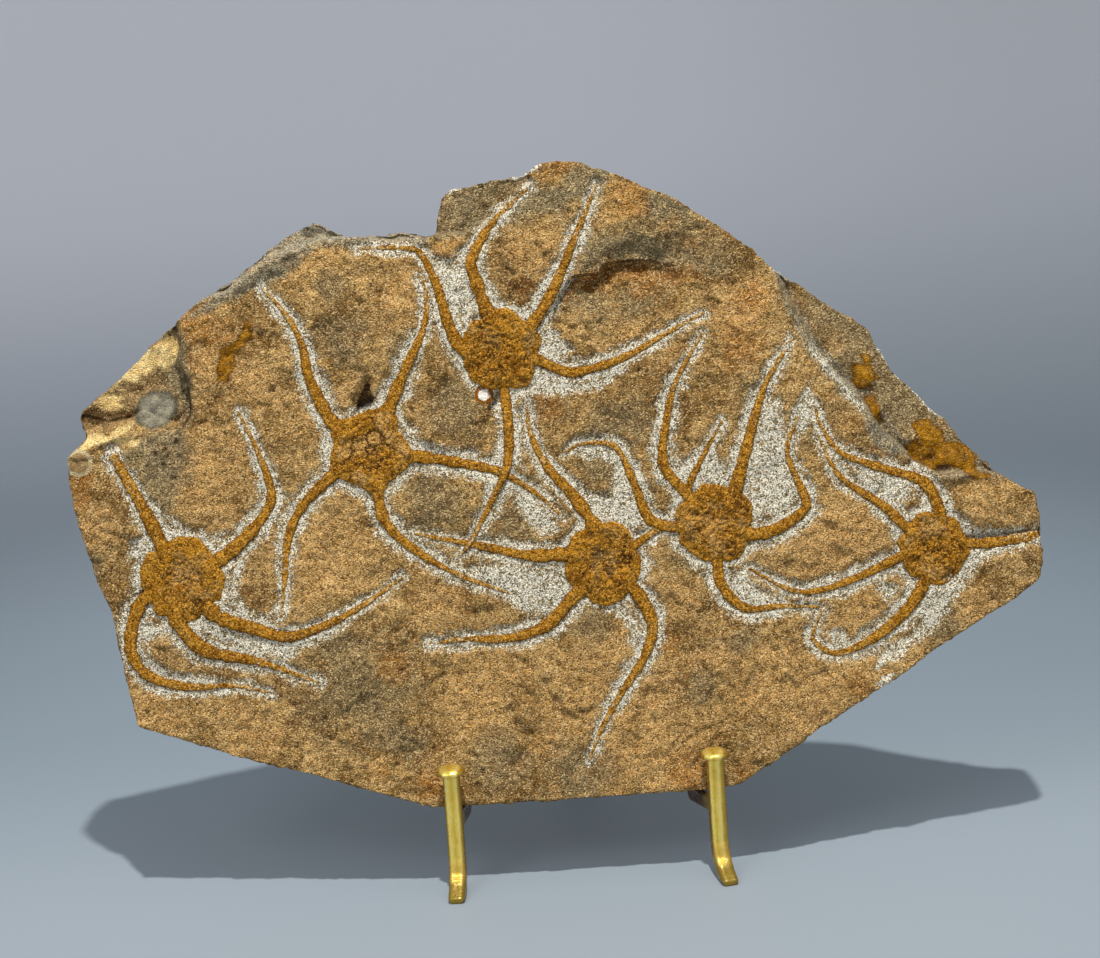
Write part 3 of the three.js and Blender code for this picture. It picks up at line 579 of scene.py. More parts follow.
def picked_strips(flat, wander, facing):
    """How deep inside the picked strips and areas each point lies, negative outside them."""
    distance = fossil_distance(flat)
    foot = 1 - smooth_step((flat[:, 1] - FOOT_TOP) / FOOT_REACH)
    reach = HALO * (1 - FOOT_NARROWING * foot + HALO_WANDER * wander) - distance
    most = BESIDE_ARM - FOOT_FADE * foot + AWAY_FROM_ARM * np.maximum(distance, 0)
    picked = np.minimum(reach, most)
    for rim in PICKED:
        inside = inside_distance(rim, flat) + AREA_WANDER * wander + AREA_REACH
        picked = np.maximum(picked, np.minimum(inside, AREA_DEPTH))
    return np.where(facing > 0, picked, OUTSIDE)


def laplacian(points, edges, rounds, factor=0.5):
    """Moves each point a share of the way to the middle of its neighbours, some rounds over."""
    count = np.bincount(edges.ravel(), minlength=len(points))[:, None]
    for _ in range(rounds):
        total = np.empty_like(points)
        for axis in range(3):
            column = points[:, axis]
            total[:, axis] = (np.bincount(edges[:, 0], column[edges[:, 1]], len(points))
                              + np.bincount(edges[:, 1], column[edges[:, 0]], len(points)))
        points = points + factor * (total / count - points)
    return points


def rough(points, size, octaves, seed=0.0, stretch=(1, 1, 1)):
    """Fractal noise, about -1 to 1, for points in millimetres."""
    scaled = points / (size * np.array(stretch)) + seed
    return np.array([noise.fractal(p, ROUGH_POWER, ROUGH_FINER, octaves) for p in scaled])


def welded_copy(name, cad):
    """A new object with a CAD node's mesh, its corners joined."""
    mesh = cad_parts[cad].data.copy()
    bm = bmesh.new()
    bm.from_mesh(mesh)
    bmesh.ops.remove_doubles(bm, verts=bm.verts, dist=1e-6)
    bm.to_mesh(mesh)
    bm.free()
    mesh.materials.clear()
    return new_object(name, mesh)


def remeshed(obj, voxel):
    remesh = obj.modifiers.new("Remesh", "REMESH")
    remesh.mode = "VOXEL"
    remesh.voxel_size = voxel
    return baked(obj)


def hollow_relief(flat, wander):
    """What sharpens the rims of the broken beds, and how far inside each rim the points are."""
    relief, insides = np.zeros(len(flat)), {}
    for name, hollow in HOLLOWS.items():
        inside = inside_distance(hollow["rim"], flat) + hollow["wander"] * wander
        share, plain = 1, 1
        if "fade" in hollow:
            top, low = hollow["fade"]
            plain = np.clip((flat[:, 1] - low) / (top - low), 0, 1)
            share = plain * (1 - LEDGE_LOSS * ramp(flat[:, 0], *LEDGE_LOSS_RUN))
        sharp = share * smooth_step(inside / hollow["slope"])
        relief -= hollow["depth"] * (sharp - plain * smooth_step((inside + PLAIN_START) / PLAIN_SLOPE))
        insides[name] = inside
    return relief, insides


def broken_beds(points):
    """A surface that steps down in thin beds, as split sandstone does."""
    level = rough(points, *BED_NOISE) * BED_COUNT
    whole = np.floor(level)
    return whole + smooth_step((level - whole) / BED_EDGE) - level


def chips(points, size):
    """Small flat facets, each tilted its own way, as a hammered stone has; about -1 to 1."""
    noise.seed_set(CHIP_SEED)
    out = np.empty(len(points))
    for i, p in enumerate(points / size):
        p = Vector(p)
        p += CHIP_BEND * noise.turbulence_vector(p * CHIP_BEND_SCALE, 2, False)
        middle = noise.voronoi(p)[1][0]
        out[i] = (p - middle).dot(noise.cell_vector(middle * CHIP_TILT_SCALE) - Vector((0.5, 0.5, 0.5)))
    return 2 * out


def face_height(points, relief, fields, picked, shoulder):
    """Height of the face over its plane: hollows, broken stone, picked strips, cracks and lumps."""
    natural = (FACE_COARSE * fields["coarse"] + FACE_MEDIUM * fields["medium"]
               + FACE_BEDS * broken_beds(points) - FACE_CRAGS * fields["crags"])
    natural += (BIG_CHIP_RISE * chips(points, BIG_CHIP)
                + SMALL_CHIP_RISE * chips(points + CHIP_SHIFT, SMALL_CHIP))
    natural *= 1 - CALM_SHELF * smooth_step(shoulder / CALM_SHELF_IN)
    sunk = np.clip(picked / TRENCH_WALL, 0, 1)
    height = (relief + natural * (1 - CALM_STRIP * sunk) - TRENCH * sunk
              + CHISEL_DEPTH * sunk * fields["chisel"])
    flat = points[:, :2]
    for line, half, depth in CRACKS:
        away = distance_to_line(flat, line) / half * (1 + CRACK_WANDER * fields["wander"])
        height -= depth * smooth_step(CRACK_FLOOR - away)
    for u, v, radius, rise in LUMPS:
        away = ((flat[:, 0] - u) ** 2 + (flat[:, 1] - v) ** 2) / radius**2
        height += rise * np.clip(1 - away, 0, 1) ** LUMP_ROUNDNESS
    return height


def thinned_back(obj, behind):
    """The object's mesh with fewer triangles on its back."""
    group = obj.vertex_groups.new(name="back")
    for i in np.nonzero(behind > 0.5)[0]:
        group.add([int(i)], 1.0, "REPLACE")
    thin = obj.modifiers.new("Thin the back", "DECIMATE")
    thin.ratio = BACK_SHARE
    thin.vertex_group = "back"
    mesh = baked(obj)
    obj.vertex_groups.clear()
    return mesh


def paint(mesh, flat, facing, insides):
    """Stores where the stone's stains, patches and marks lie, and the painted shadow under the ledge,
    for its finish to colour.
    """
    u, v = flat.T
    shoulder = insides["shoulder"]
    step = 1 - np.abs(shoulder - STEP_MIDDLE) / (STEP_HALF + STEP_WIDER * ramp(v, *STEP_WIDENS))
    shelf = ramp(shoulder, *SHELF_RISE) * (SHELF_LEAST + SHELF_GAIN * ramp(v, *SHELF_GAINS))
    crown = np.clip(insides["crown"] / CROWN_RISE, 0, CROWN_MOST)
    # A strip of painted shadow under the ledge's rim.
    ledge = 1 - np.abs(insides["ledge"] - LEDGE_MIDDLE) / LEDGE_HALF
    ledge *= np.clip((v - LEDGE_BOTTOM) / LEDGE_RISE, 0, 1)
    ledge *= 1 - LEDGE_FADE * ramp(u, *LEDGE_FADES)
    store(mesh, "flank", 1 - facing)
    store(mesh, "step", step * facing)
    store(mesh, "shelf", np.maximum(shelf, crown) * facing)
    store(mesh, "bevel", np.clip(insides["bevel"] / BEVEL_RISE, -1, 1))
    store(mesh, "corner", insides["corner"])
    store(mesh, "ledge", ledge * facing)
    for name, spots in STAINS.items():
        amount = np.zeros(len(flat))
        for stain_u, stain_v, radius in spots:
            away = np.hypot(u - stain_u, v - stain_v)
            amount = np.maximum(amount, 1 - away / (STAIN_SPREAD * radius))
        store(mesh, name, amount * facing)
    for name, outlines in AREAS.items():
        inside = np.max([inside_distance(rim, flat) for rim in outlines], axis=0)
        store(mesh, name, np.where(facing > 0, inside, OUTSIDE))
    for name, lines in LINES.items():
        store(mesh, name, np.min([distance_to_line(flat, line) for line in lines], axis=0))
    store(mesh, "ring", np.hypot(u - RING[0], v - RING[1]) / RING[2])
    store(mesh, "quartz", np.hypot(u - QUARTZ[0], v - QUARTZ[1]))


def build_slab():
    """The slab, and a tree of its surface in face coordinates, on which the animals are laid."""
    obj = welded_copy("rock_slab", "slab")
    mesh = remeshed(obj, VOXEL)
    points = moved(coordinates(mesh), WORLD_TO_FACE)
    points = laplacian(points, mesh_edges(mesh), SMOOTHING)
    set_coordinates(mesh, points)
    normals = vertex_normals(mesh)
    facing = np.clip((normals[:, 2] - TURNED_FROM) / TURNED_OVER, 0, 1)
    behind = np.clip((-normals[:, 2] - TURNED_FROM) / TURNED_OVER, 0, 1)
    flank = 1 - facing - behind

    flat = points[:, :2]
    fields = {name: rough(points, *how) for name, how in NOISES.items()}
    fields["crags"] = np.abs(fields["crags"]) - CRAG_LEVEL
    coarse, medium = fields["coarse"], fields["medium"]
    picked = picked_strips(flat, fields["wander"], facing)
    relief, insides = hollow_relief(flat, fields["wander"])
    height = face_height(points, relief, fields, picked, insides["shoulder"])
    bedding = rough(points, *BEDDING, BEDDING_STRETCH)
    push = (facing * np.minimum(height, HIGHEST)
            + flank * (FLANK_BEDDING * bedding + FLANK_MEDIUM * medium - FLANK_SUNK))
    push += behind * (BACK_COARSE * coarse + BACK_MEDIUM * medium - BACK_SUNK)
    lift = facing[:, None] * np.array([0, 0, 1.0]) + (1 - facing[:, None]) * normals
    points = points + lift * push[:, None] - normals * SKIN

    store(mesh, "picked", picked)
    # Where the roughness dips, for painted shade in its hollows and a painted highlight on its high
    # points.
    relief_noise = HOLLOW_COARSE * coarse + HOLLOW_MEDIUM * medium - HOLLOW_CRAGS * fields["crags"]
    store(mesh, "hollowness", -relief_noise - HOLLOW_LEVEL)
    paint(mesh, flat, facing, insides)

    set_coordinates(mesh, points)
    obj.data = mesh
    obj.data = mesh = thinned_back(obj, behind)
    tree = BVHTree.FromPolygons(coordinates(mesh).tolist(), [p.vertices[:] for p in mesh.polygons])
    set_coordinates(mesh, moved(coordinates(mesh), FACE_TO_WORLD))
    mesh.shade_smooth()
    return obj, tree


def ground(tree, u, v):
    """Height of the finished stone at a place on the face."""
    hit = tree.ray_cast(Vector((u, v, CLEAR_OF_STONE)), Vector((0, 0, -1)))[0]
    return hit.z if hit else 0.0


# ---------------------------------------------------------------- node helpers
FLOAT, VECTOR = "NodeSocketFloat", "NodeSocketVector"


def feed(tree, socket, value):
    """Links another node's output to a socket, or sets the socket's own value."""
    if isinstance(value, bpy.types.NodeSocket):
        tree.links.new(value, socket)
    else:
        socket.default_value = value


def feed_all(tree, sockets, **values):
    """Feeds sockets by their names, where _ stands for a space."""
    for label, value in values.items():
        feed(tree, sockets[label.replace("_", " ")], value)


def node(tree, kind, **settings):
    """A node with its properties and inputs set; in_ goes before an input's name or number."""
    made = tree.nodes.new(kind)
    for key, value in settings.items():
        if key.startswith("in_"):
            key = key[3:]
            feed(tree, made.inputs[int(key) if key.isdigit() else key.replace("_", " ").title()], value)
        else:
            setattr(made, key, value)
    return made


def math_node(tree, operation, a, b=0.0, c=0.0, clamp=False):
    made = node(tree, "ShaderNodeMath", operation=operation, use_clamp=clamp, in_0=a, in_1=b, in_2=c)
    return made.outputs[0]


def remap(tree, value, low, high, to_low=0.0, to_high=1.0):
    """Goes smoothly from to_low to to_high as the value goes from low to high."""
    made = node(tree, "ShaderNodeMapRange", interpolation_type="SMOOTHSTEP", in_0=value, in_1=low,
                in_2=high, in_3=to_low, in_4=to_high)
    return made.outputs[0]


def mix(tree, factor, a, b):
    """Colour a, turning into b as the factor goes from 0 to 1."""
    return node(tree, "ShaderNodeMix", data_type="RGBA", in_0=factor, in_6=a, in_7=b).outputs[2]


def cover(tree, under, tone, strength, value, low, high):
    """A colour covered by another tone, up to the strength, as the value goes from low to high."""
    return mix(tree, remap(tree, value, low, high, 0.0, strength), under, tone)


def colour(red, green, blue):
    """A colour given as 0 to 255 on the screen, as linear light."""
    shares = (c / 255 for c in (red, green, blue))
    return tuple(c / 12.92 if c <= 0.04045 else ((c + 0.055) / 1.055) ** 2.4 for c in shares) + (1.0,)


def scaled_noise(tree, vector, scale, detail=3.0, roughness=0.5, output=0):
    """Noise whose scale may be another node's output; output 0 is its value and 1 its colour."""
    return node(tree, "ShaderNodeTexNoise", in_vector=vector, in_scale=scale, in_detail=detail,
                in_roughness=roughness).outputs[output]


def noise_texture(tree, vector, size, detail=3.0, roughness=0.55):
    """Noise whose lumps are about size metres across."""
    return scaled_noise(tree, vector, 1 / size, detail, roughness)


def centred_noise(tree, vector, size, detail, roughness):
    return math_node(tree, "SUBTRACT", noise_texture(tree, vector, size, detail, roughness), 0.5)


def bent(tree, place, scale, reach):
    """Coordinates pushed about by noise, so that cells in them have crooked borders."""
    push = scaled_noise(tree, place, scale, output=1)
    return node(tree, "ShaderNodeVectorMath", operation="MULTIPLY_ADD", in_0=push, in_1=(reach,) * 3,
                in_2=place).outputs[0]


def cells(tree, vector, scale):
    """Scattered cells: the distance from their middles, and three chances that each keeps."""
    made = node(tree, "ShaderNodeTexVoronoi", in_vector=vector, in_scale=scale).outputs
    return made["Distance"], node(tree, "ShaderNodeSeparateColor", in_color=made["Color"]).outputs


def new_group(kind, name, inputs, outputs):
    """A node group with its sockets; inputs and outputs are (name, type, default)."""
    tree = bpy.data.node_groups.new(name, kind)
    for direction, sockets in (("INPUT", inputs), ("OUTPUT", outputs)):
        for label, socket_type, *default in sockets:
            socket = tree.interface.new_socket(label, in_out=direction, socket_type=socket_type)
            if default:
                socket.default_value = default[0]
    return tree, tree.nodes.new("NodeGroupInput").outputs, tree.nodes.new("NodeGroupOutput").inputs


CLUMP_SCALE, CLUMPING = 0.2, 0.8        # clumps of grains: their scale beside a grain's, and strength
GRAIN_FROM, GRAIN_FULL = 0.66, 0.82     # chances at which a grain starts to differ, and differs fully
FLECK_SCALE, FLECK_LOW, FLECK_HIGH = 1.2, 0.3, 0.7    # scale of the flecks' noise, and what counts of it
FLECK_DARK, FLECK_LIGHT = 0.68, 1.42    # how far single grains darken or lighten the stone


def sand_grain_group():
    """Cemented sand: pale and dark grains, the height that they stand, and a finer change of tone."""
    tree, inp, out = new_group("ShaderNodeTree", "sand_grain",
                               [("Vector", VECTOR), ("Grain Size", FLOAT, 0.5 * MM)],
                               [("Pale", FLOAT), ("Dark", FLOAT), ("Height", FLOAT), ("Fleck", FLOAT)])
    scale = math_node(tree, "DIVIDE", 1.0, inp["Grain Size"])
    distance, chance = cells(tree, inp["Vector"], scale)
    clumps = scaled_noise(tree, inp["Vector"], math_node(tree, "MULTIPLY", scale, CLUMP_SCALE))
    uneven = math_node(tree, "MULTIPLY_ADD", clumps, CLUMPING, -CLUMPING / 2)
    pale = math_node(tree, "SUBTRACT", chance[0], uneven)
    dark = math_node(tree, "ADD", chance[1], uneven)
    tree.links.new(remap(tree, pale, GRAIN_FROM, GRAIN_FULL), out["Pale"])
    tree.links.new(remap(tree, dark, GRAIN_FROM, GRAIN_FULL), out["Dark"])
    rounded = math_node(tree, "SUBTRACT", 1.0, distance)
    tree.links.new(math_node(tree, "ADD", clumps, rounded), out["Height"])
    fleck = scaled_noise(tree, inp["Vector"], math_node(tree, "MULTIPLY", scale, FLECK_SCALE), 1.0)
    tree.links.new(remap(tree, fleck, FLECK_LOW, FLECK_HIGH, FLECK_DARK, FLECK_LIGHT), out["Fleck"])
    return tree


FINE_BLOTCH = 5.3                       # scale of the fine blotches beside the broad ones


def blotch_group():
    """Slow changes of tone, at two sizes, both around one half."""
    tree, inp, out = new_group("ShaderNodeTree", "blotch",
                               [("Vector", VECTOR), ("Size", FLOAT, 30 * MM), ("Contrast", FLOAT, 1.0)],
                               [("Broad", FLOAT), ("Fine", FLOAT)])
    scale = math_node(tree, "DIVIDE", 1.0, inp["Size"])
    for name, factor in (("Broad", 1.0), ("Fine", FINE_BLOTCH)):
        tone = scaled_noise(tree, inp["Vector"], math_node(tree, "MULTIPLY", scale, factor), 4.0, 0.6)
        tone = math_node(tree, "SUBTRACT", tone, 0.5)
        tone = math_node(tree, "MULTIPLY_ADD", tone, inp["Contrast"], 0.5, clamp=True)
        tree.links.new(tone, out[name])
    return tree


SWARM_SCALE, SWARMING = 0.3, 1.6        # swarms of dots: their scale beside a dot's, and strength
AMOUNT_GAIN = 0.76                      # how much the amount adds to a dot's chance
DOT_FROM, DOT_FULL = 0.94, 1.08         # levels at which a dot starts to show, and shows fully
DOTS_GONE, DOTS_BACK = 0.0, 0.2         # amounts at which all dots are gone, and are let through


def pick_mark_group():
    """Close dots of pale bruised stone with bare stone between them, fewer where Amount falls."""
    tree, inp, out = new_group("ShaderNodeTree", "pick_marks",
                               [("Vector", VECTOR), ("Dot Size", FLOAT, 0.6 * MM), ("Amount", FLOAT, 1.0)],
                               [("Bruise", FLOAT), ("Height", FLOAT)])
    scale = math_node(tree, "DIVIDE", 1.0, inp["Dot Size"])
    swarm = scaled_noise(tree, inp["Vector"], math_node(tree, "MULTIPLY", scale, SWARM_SCALE), 3.0, 0.7)
    _, chance = cells(tree, inp["Vector"], scale)
    swarm = math_node(tree, "MULTIPLY_ADD", swarm, SWARMING, -SWARMING / 2)
    level = math_node(tree, "ADD", chance[2], swarm)
    level = math_node(tree, "MULTIPLY_ADD", inp["Amount"], AMOUNT_GAIN, level)
    bruise = math_node(tree, "MULTIPLY", remap(tree, level, DOT_FROM, DOT_FULL),
                       remap(tree, inp["Amount"], DOTS_GONE, DOTS_BACK))
    tree.links.new(bruise, out["Bruise"])
    tree.links.new(math_node(tree, "MULTIPLY", bruise, inp["Amount"]), out["Height"])
    return tree


GRAIN, BLOTCH, PICK_MARKS = sand_grain_group(), blotch_group(), pick_mark_group()


def placed(tree, group, **inputs):
    """A node group placed in a tree, with its inputs fed."""
    made = tree.nodes.new("ShaderNodeGroup")
    made.node_tree = group
    feed_all(tree, made.inputs, **inputs)
    return made.outputs


def new_material(name):
    """A material, its node tree, the inputs of its shader, and the object's own coordinates."""
    material = bpy.data.materials.new(name)
    material.use_nodes = True
    tree = material.node_tree
    place = tree.nodes.new("ShaderNodeTexCoord").outputs["Object"]
    return material, tree, tree.nodes["Principled BSDF"].inputs, place


def scaled(tree, vector, factor):
    """A vector or a colour, times a factor."""
    return node(tree, "ShaderNodeVectorMath", operation="SCALE", in_0=vector, in_scale=factor).outputs[0]


def attribute_value(tree, name):
    return node(tree, "ShaderNodeAttribute", attribute_name=name).outputs["Fac"]


def bumped(tree, *layers):
    """A normal with one bump laid over another; each is a height and the distance that it stands for."""
    normal = None
    for height, distance in layers:
        made = node(tree, "ShaderNodeBump", in_height=height, in_distance=distance)
        if normal:
            tree.links.new(normal, made.inputs["Normal"])
        normal = made.outputs[0]
    return normal


def spread(tree, name, uneven, reach, low, high, strength=1.0):
    """How far a stored value colours a surface, its edge broken up by noise."""
    amount = math_node(tree, "MULTIPLY_ADD", uneven, reach, attribute_value(tree, name))
    return remap(tree, amount, low, high, 0.0, strength)


# ---------------------------------------------------------------- finishes
RAGGED, CLOUDY = (3.5 * MM, 5.0, 0.7), (12 * MM, 6.0, 0.68)    # noises: size, detail and roughness
FACET_SIZE, FACET_BEND, FACET_BEND_SCALE = 9 * MM, 6 * MM, 90.0
PLATE_SIZE, PLATE_BEND, PLATE_BEND_SCALE = 5.5 * MM, 4 * MM, 220.0
CRYSTAL_POINT = 1.2 * MM
STONE_GRAIN, FOSSIL_GRAIN = 0.46 * MM, 0.44 * MM
STONE_DOT, FOSSIL_DOT = 0.42 * MM, 0.5 * MM
FOSSIL_RAGGED = (1.2 * MM, 4.0, 0.7)

# The stone's stains, and the painted shadow under the ledge, in the order in which they cover it:
# the stored area, the noise that breaks up its edge, how far the noise carries it, the amounts at
# which it starts and is full, its strength and its colour.
BED_STAINS_AND_SHADOW = [
    ("light", "cloudy", 2.4, 0.05, 0.7, 0.7, (206, 160, 96)),
    ("grey", "cloudy", 2.4, 0.05, 0.7, 0.68, (124, 110, 80)),
    ("rust", "cloudy", 2.4, 0.05, 0.7, 0.6, (170, 110, 40)),
    ("corner", "cloudy", 14.0, -1.0, 3.0, 0.5, (132, 112, 82)),
    ("shelf", "cloudy", 1.1, 0.1, 0.7, 0.7, (136, 120, 88)),
    ("slate", "ragged", 6.0, -1.2, 1.6, 0.66, (132, 121, 92)),
    ("ochre", "ragged", 6.0, -1.2, 1.6, 0.55, (188, 140, 72)),
    ("greenish", "ragged", 5.0, -1.4, 1.4, 0.72, (136, 134, 116)),
    ("step", "ragged", 1.0, 0.0, 0.5, 0.6, (122, 123, 110)),
    # Painted shadow under the ledge: along its rim, then the strip below it.
    ("ledge_rim_shadow", "ragged", 4.0, -0.8, 0.8, 0.8, (108, 64, 16)),
    ("ledge", "ragged", 1.2, 0.0, 0.6, 0.8, (112, 68, 18)),
]
FLANK_STRENGTH, FLANK_TONE = 0.5, (140, 118, 82)
# The broken bevel's grey, painted shade and highlight on the roughness, and grey-olive strips.
TONES_AND_SHADE = [
    ("bevel", "ragged", 1.4, 0.0, 0.5, 0.8, (156, 151, 132)),
    # Painted shade in the hollows, then a painted highlight on the high points.
    ("hollowness", "ragged", 1.2, 0.1, 1.1, 0.5, (88, 60, 24)),
    ("hollowness", "ragged", 1.2, -0.3, -1.1, 0.35, (204, 164, 104)),
    ("olive_grey_strip", "ragged", 5.0, 4.2, 1.2, 0.45, (108, 102, 82)),
]
# Dark pits, a hole and cracks. The darkness in the pits and the hole is painted shade, and the first of
# the cracks is the painted shadow under the ledge's rim.
HOLES = [
    ("pit", "ragged", 3.6, 1.4, 0.3, 0.9, (48, 30, 12)),
    ("pithole", "ragged", 5.0, -0.9, 0.5, 0.95, (26, 13, 4)),
    ("crack_and_ledge_shadow", "ragged", 1.6, 0.8, 0.3, 0.8, (56, 34, 12)),
]
# How far the grains show in the stone, and how much of it each kind of patch takes from them.
PALE_GRAINS, DARK_GRAINS, GRAIN_LEFT = 0.62, 0.66, 0.35
SMOOTH_HIDES, OXIDE_HIDES, CREAM_HIDES = 0.85, 0.7, 0.6


def bare_stone(tree, place, blotch):
    """Tan sandstone, mottled, and lighter or darker from one broken facet to the next."""
    stone = mix(tree, blotch["Broad"], colour(136, 102, 52), colour(186, 147, 88))
    stone = mix(tree, remap(tree, blotch["Fine"], 0.0, 0.55), colour(122, 88, 42), stone)
    _, chance = cells(tree, bent(tree, place, FACET_BEND_SCALE, FACET_BEND), 1 / FACET_SIZE)
    stone = cover(tree, stone, colour(210, 170, 108), 0.42, chance[0], 0.4, 0.9)
    return cover(tree, stone, colour(104, 74, 34), 0.36, chance[0], 0.5, 0.1)


def stained(tree, stone, noises, stains):
    """The stone's colour with one stain after another laid over it."""
    for name, kind, reach, low, high, strength, tone in stains:
        amount = spread(tree, name, noises[kind], reach, low, high, strength)
        stone = mix(tree, amount, stone, colour(*tone))
    return stone


def patched(tree, stone, ragged, fine):
    """Cream stone, a smooth nodule with painted shade round its rim, and iron oxide on it, and how
    far each of them covers it.
    """
    cream = spread(tree, "cream", ragged, 5.0, -0.4, 1.0, 0.95)
    stone = mix(tree, cream, stone, mix(tree, fine, colour(222, 184, 116), colour(255, 226, 156)))
    smooth = spread(tree, "smooth", ragged, 2.5, -0.7, 0.9)
    polished = mix(tree, fine, colour(96, 93, 80), colour(150, 142, 120))
    # Painted shade round the nodule's rim, so that it looks round.
    nodule_rim_shade = spread(tree, "smooth", ragged, 1.5, 2.6, 0.2, 0.75)
    stone = mix(tree, smooth, stone, mix(tree, nodule_rim_shade, polished, colour(58, 54, 42)))
    oxide = spread(tree, "oxide", ragged, 3.6, -0.8, 0.3)
    rusty = mix(tree, fine, colour(106, 66, 4), colour(180, 126, 22))
    core = spread(tree, "oxide", ragged, 5.0, -0.4, 1.1)
    stone = mix(tree, oxide, stone, mix(tree, core, colour(84, 48, 6), rusty))
    return stone, cream, smooth, oxide


def grained(tree, stone, grain, bare):
    """Pale and dark grains in the stone, as far as it is bare."""
    pale = math_node(tree, "MULTIPLY", grain["Pale"], math_node(tree, "MULTIPLY", bare, PALE_GRAINS))
    stone = mix(tree, pale, stone, mix(tree, GRAIN_LEFT, colour(240, 210, 154), stone))
    dark = math_node(tree, "MULTIPLY", grain["Dark"], math_node(tree, "MULTIPLY", bare, DARK_GRAINS))
    return mix(tree, dark, stone, colour(70, 45, 14))


def with_ring(tree, stone, ragged):
    """A round section of a shell: a pale ring round a tan floor with a dark heart."""
    away = math_node(tree, "MULTIPLY_ADD", ragged, 0.5, attribute_value(tree, "ring"))
    from_ring = math_node(tree, "ABSOLUTE", math_node(tree, "SUBTRACT", away, 1.0))
    stone = cover(tree, stone, colour(170, 142, 98), 0.6, away, 1.0, 0.8)
    stone = cover(tree, stone, colour(214, 196, 154), 0.8, from_ring, 0.22, 0.08)
    return cover(tree, stone, colour(96, 74, 44), 0.6, away, 0.4, 0.1)


def with_crystal(tree, place, stone, ragged):
    """A small quartz crystal, white in its middle and honey brown towards its rim."""
    away = math_node(tree, "MULTIPLY_ADD", ragged, 1.8, attribute_value(tree, "quartz"))
    _, chance = cells(tree, place, 1 / CRYSTAL_POINT)
    glassy = math_node(tree, "MULTIPLY_ADD", chance[0], 0.5, math_node(tree, "MULTIPLY", away, -0.5))
    gem = mix(tree, remap(tree, glassy, -0.75, -0.45), colour(140, 84, 20), colour(250, 240, 226))
    return mix(tree, remap(tree, away, 3.4, 2.8), stone, gem)


def sandstone():
    """Tan sandstone, stained and mottled, with white pitted strips around the animals."""
    material, tree, shader, place = new_material("sandstone")
    grain = placed(tree, GRAIN, Vector=place, Grain_Size=STONE_GRAIN)
    blotch = placed(tree, BLOTCH, Vector=place, Size=20 * MM, Contrast=3.4)
    ragged = centred_noise(tree, place, *RAGGED)
    noises = {"ragged": ragged, "cloudy": centred_noise(tree, place, *CLOUDY)}

    stone = stained(tree, bare_stone(tree, place, blotch), noises, BED_STAINS_AND_SHADOW)
    flank = math_node(tree, "MULTIPLY", attribute_value(tree, "flank"), FLANK_STRENGTH)
    stone = mix(tree, flank, stone, colour(*FLANK_TONE))
    stone = stained(tree, stone, noises, TONES_AND_SHADE)
    stone, cream, smooth, oxide = patched(tree, stone, ragged, blotch["Fine"])

    picked = math_node(tree, "MAXIMUM", spread(tree, "picked", ragged, 3.6, -0.8, 3.2),
                       spread(tree, "dust", ragged, 4.0, 1.6, 0.2))
    marks = placed(tree, PICK_MARKS, Vector=place, Dot_Size=STONE_DOT, Amount=picked)
    dull = math_node(tree, "MULTIPLY", picked, 1.3, clamp=True)
    stone = mix(tree, math_node(tree, "MULTIPLY", dull, 0.8), stone, colour(134, 120, 88))
    bare = math_node(tree, "MULTIPLY_ADD", smooth, -SMOOTH_HIDES, 1.0)
    bare = math_node(tree, "MULTIPLY_ADD", oxide, -OXIDE_HIDES, bare)
    bare = math_node(tree, "MULTIPLY_ADD", cream, -CREAM_HIDES, bare, clamp=True)
    stone = grained(tree, stone, grain, bare)
    stone = mix(tree, marks["Bruise"], stone, colour(228, 220, 198))
    stone = stained(tree, scaled(tree, stone, grain["Fleck"]), noises, HOLES)
    stone = with_crystal(tree, place, with_ring(tree, stone, ragged), ragged)

    rugged = math_node(tree, "MULTIPLY", grain["Height"], math_node(tree, "SUBTRACT", 1.0, smooth))
    normal = bumped(tree, (rugged, 0.5 * MM), (marks["Height"], 0.2 * MM),
                    (noise_texture(tree, place, 1.3 * MM, 3.0, 0.6), 0.25 * MM),
                    (noise_texture(tree, place, 5 * MM, 5.0, 0.55), 1.3 * MM))
    feed_all(tree, shader, Base_Color=stone, Roughness=0.9, Specular_IOR_Level=0.08, Normal=normal)
    return material


STREAK_ACROSS, STREAK_ALONG = 2.6, 0.4    # how fast the streaks change across an arm and along it


def streaks(tree):
    """Noise drawn out along an arm, or round a disc."""
    across = math_node(tree, "MULTIPLY", attribute_value(tree, "across"), STREAK_ACROSS)
    run = math_node(tree, "MULTIPLY", attribute_value(tree, "run"), STREAK_ALONG)
    lengthways = node(tree, "ShaderNodeCombineXYZ", in_0=across, in_1=run, in_2=0.0).outputs[0]
    return scaled_noise(tree, lengthways, 1.0, 4.0)


def plate_borders(tree, place, broad, disc):
    """Strength of the crooked borders between plates, where a disc is neither bare nor sanded over."""
    crooked = bent(tree, place, PLATE_BEND_SCALE, PLATE_BEND)
    border = node(tree, "ShaderNodeTexVoronoi", feature="DISTANCE_TO_EDGE", in_vector=crooked,
                  in_scale=1 / PLATE_SIZE).outputs["Distance"]
    away = math_node(tree, "MULTIPLY_ADD", broad, 0.14, border)
    sandy = math_node(tree, "MULTIPLY", remap(tree, disc, 0.15, 0.5), remap(tree, disc, 1.15, 0.85))
    return math_node(tree, "MULTIPLY", remap(tree, away, 0.12, 0.07, 0.0, 0.8), sandy)


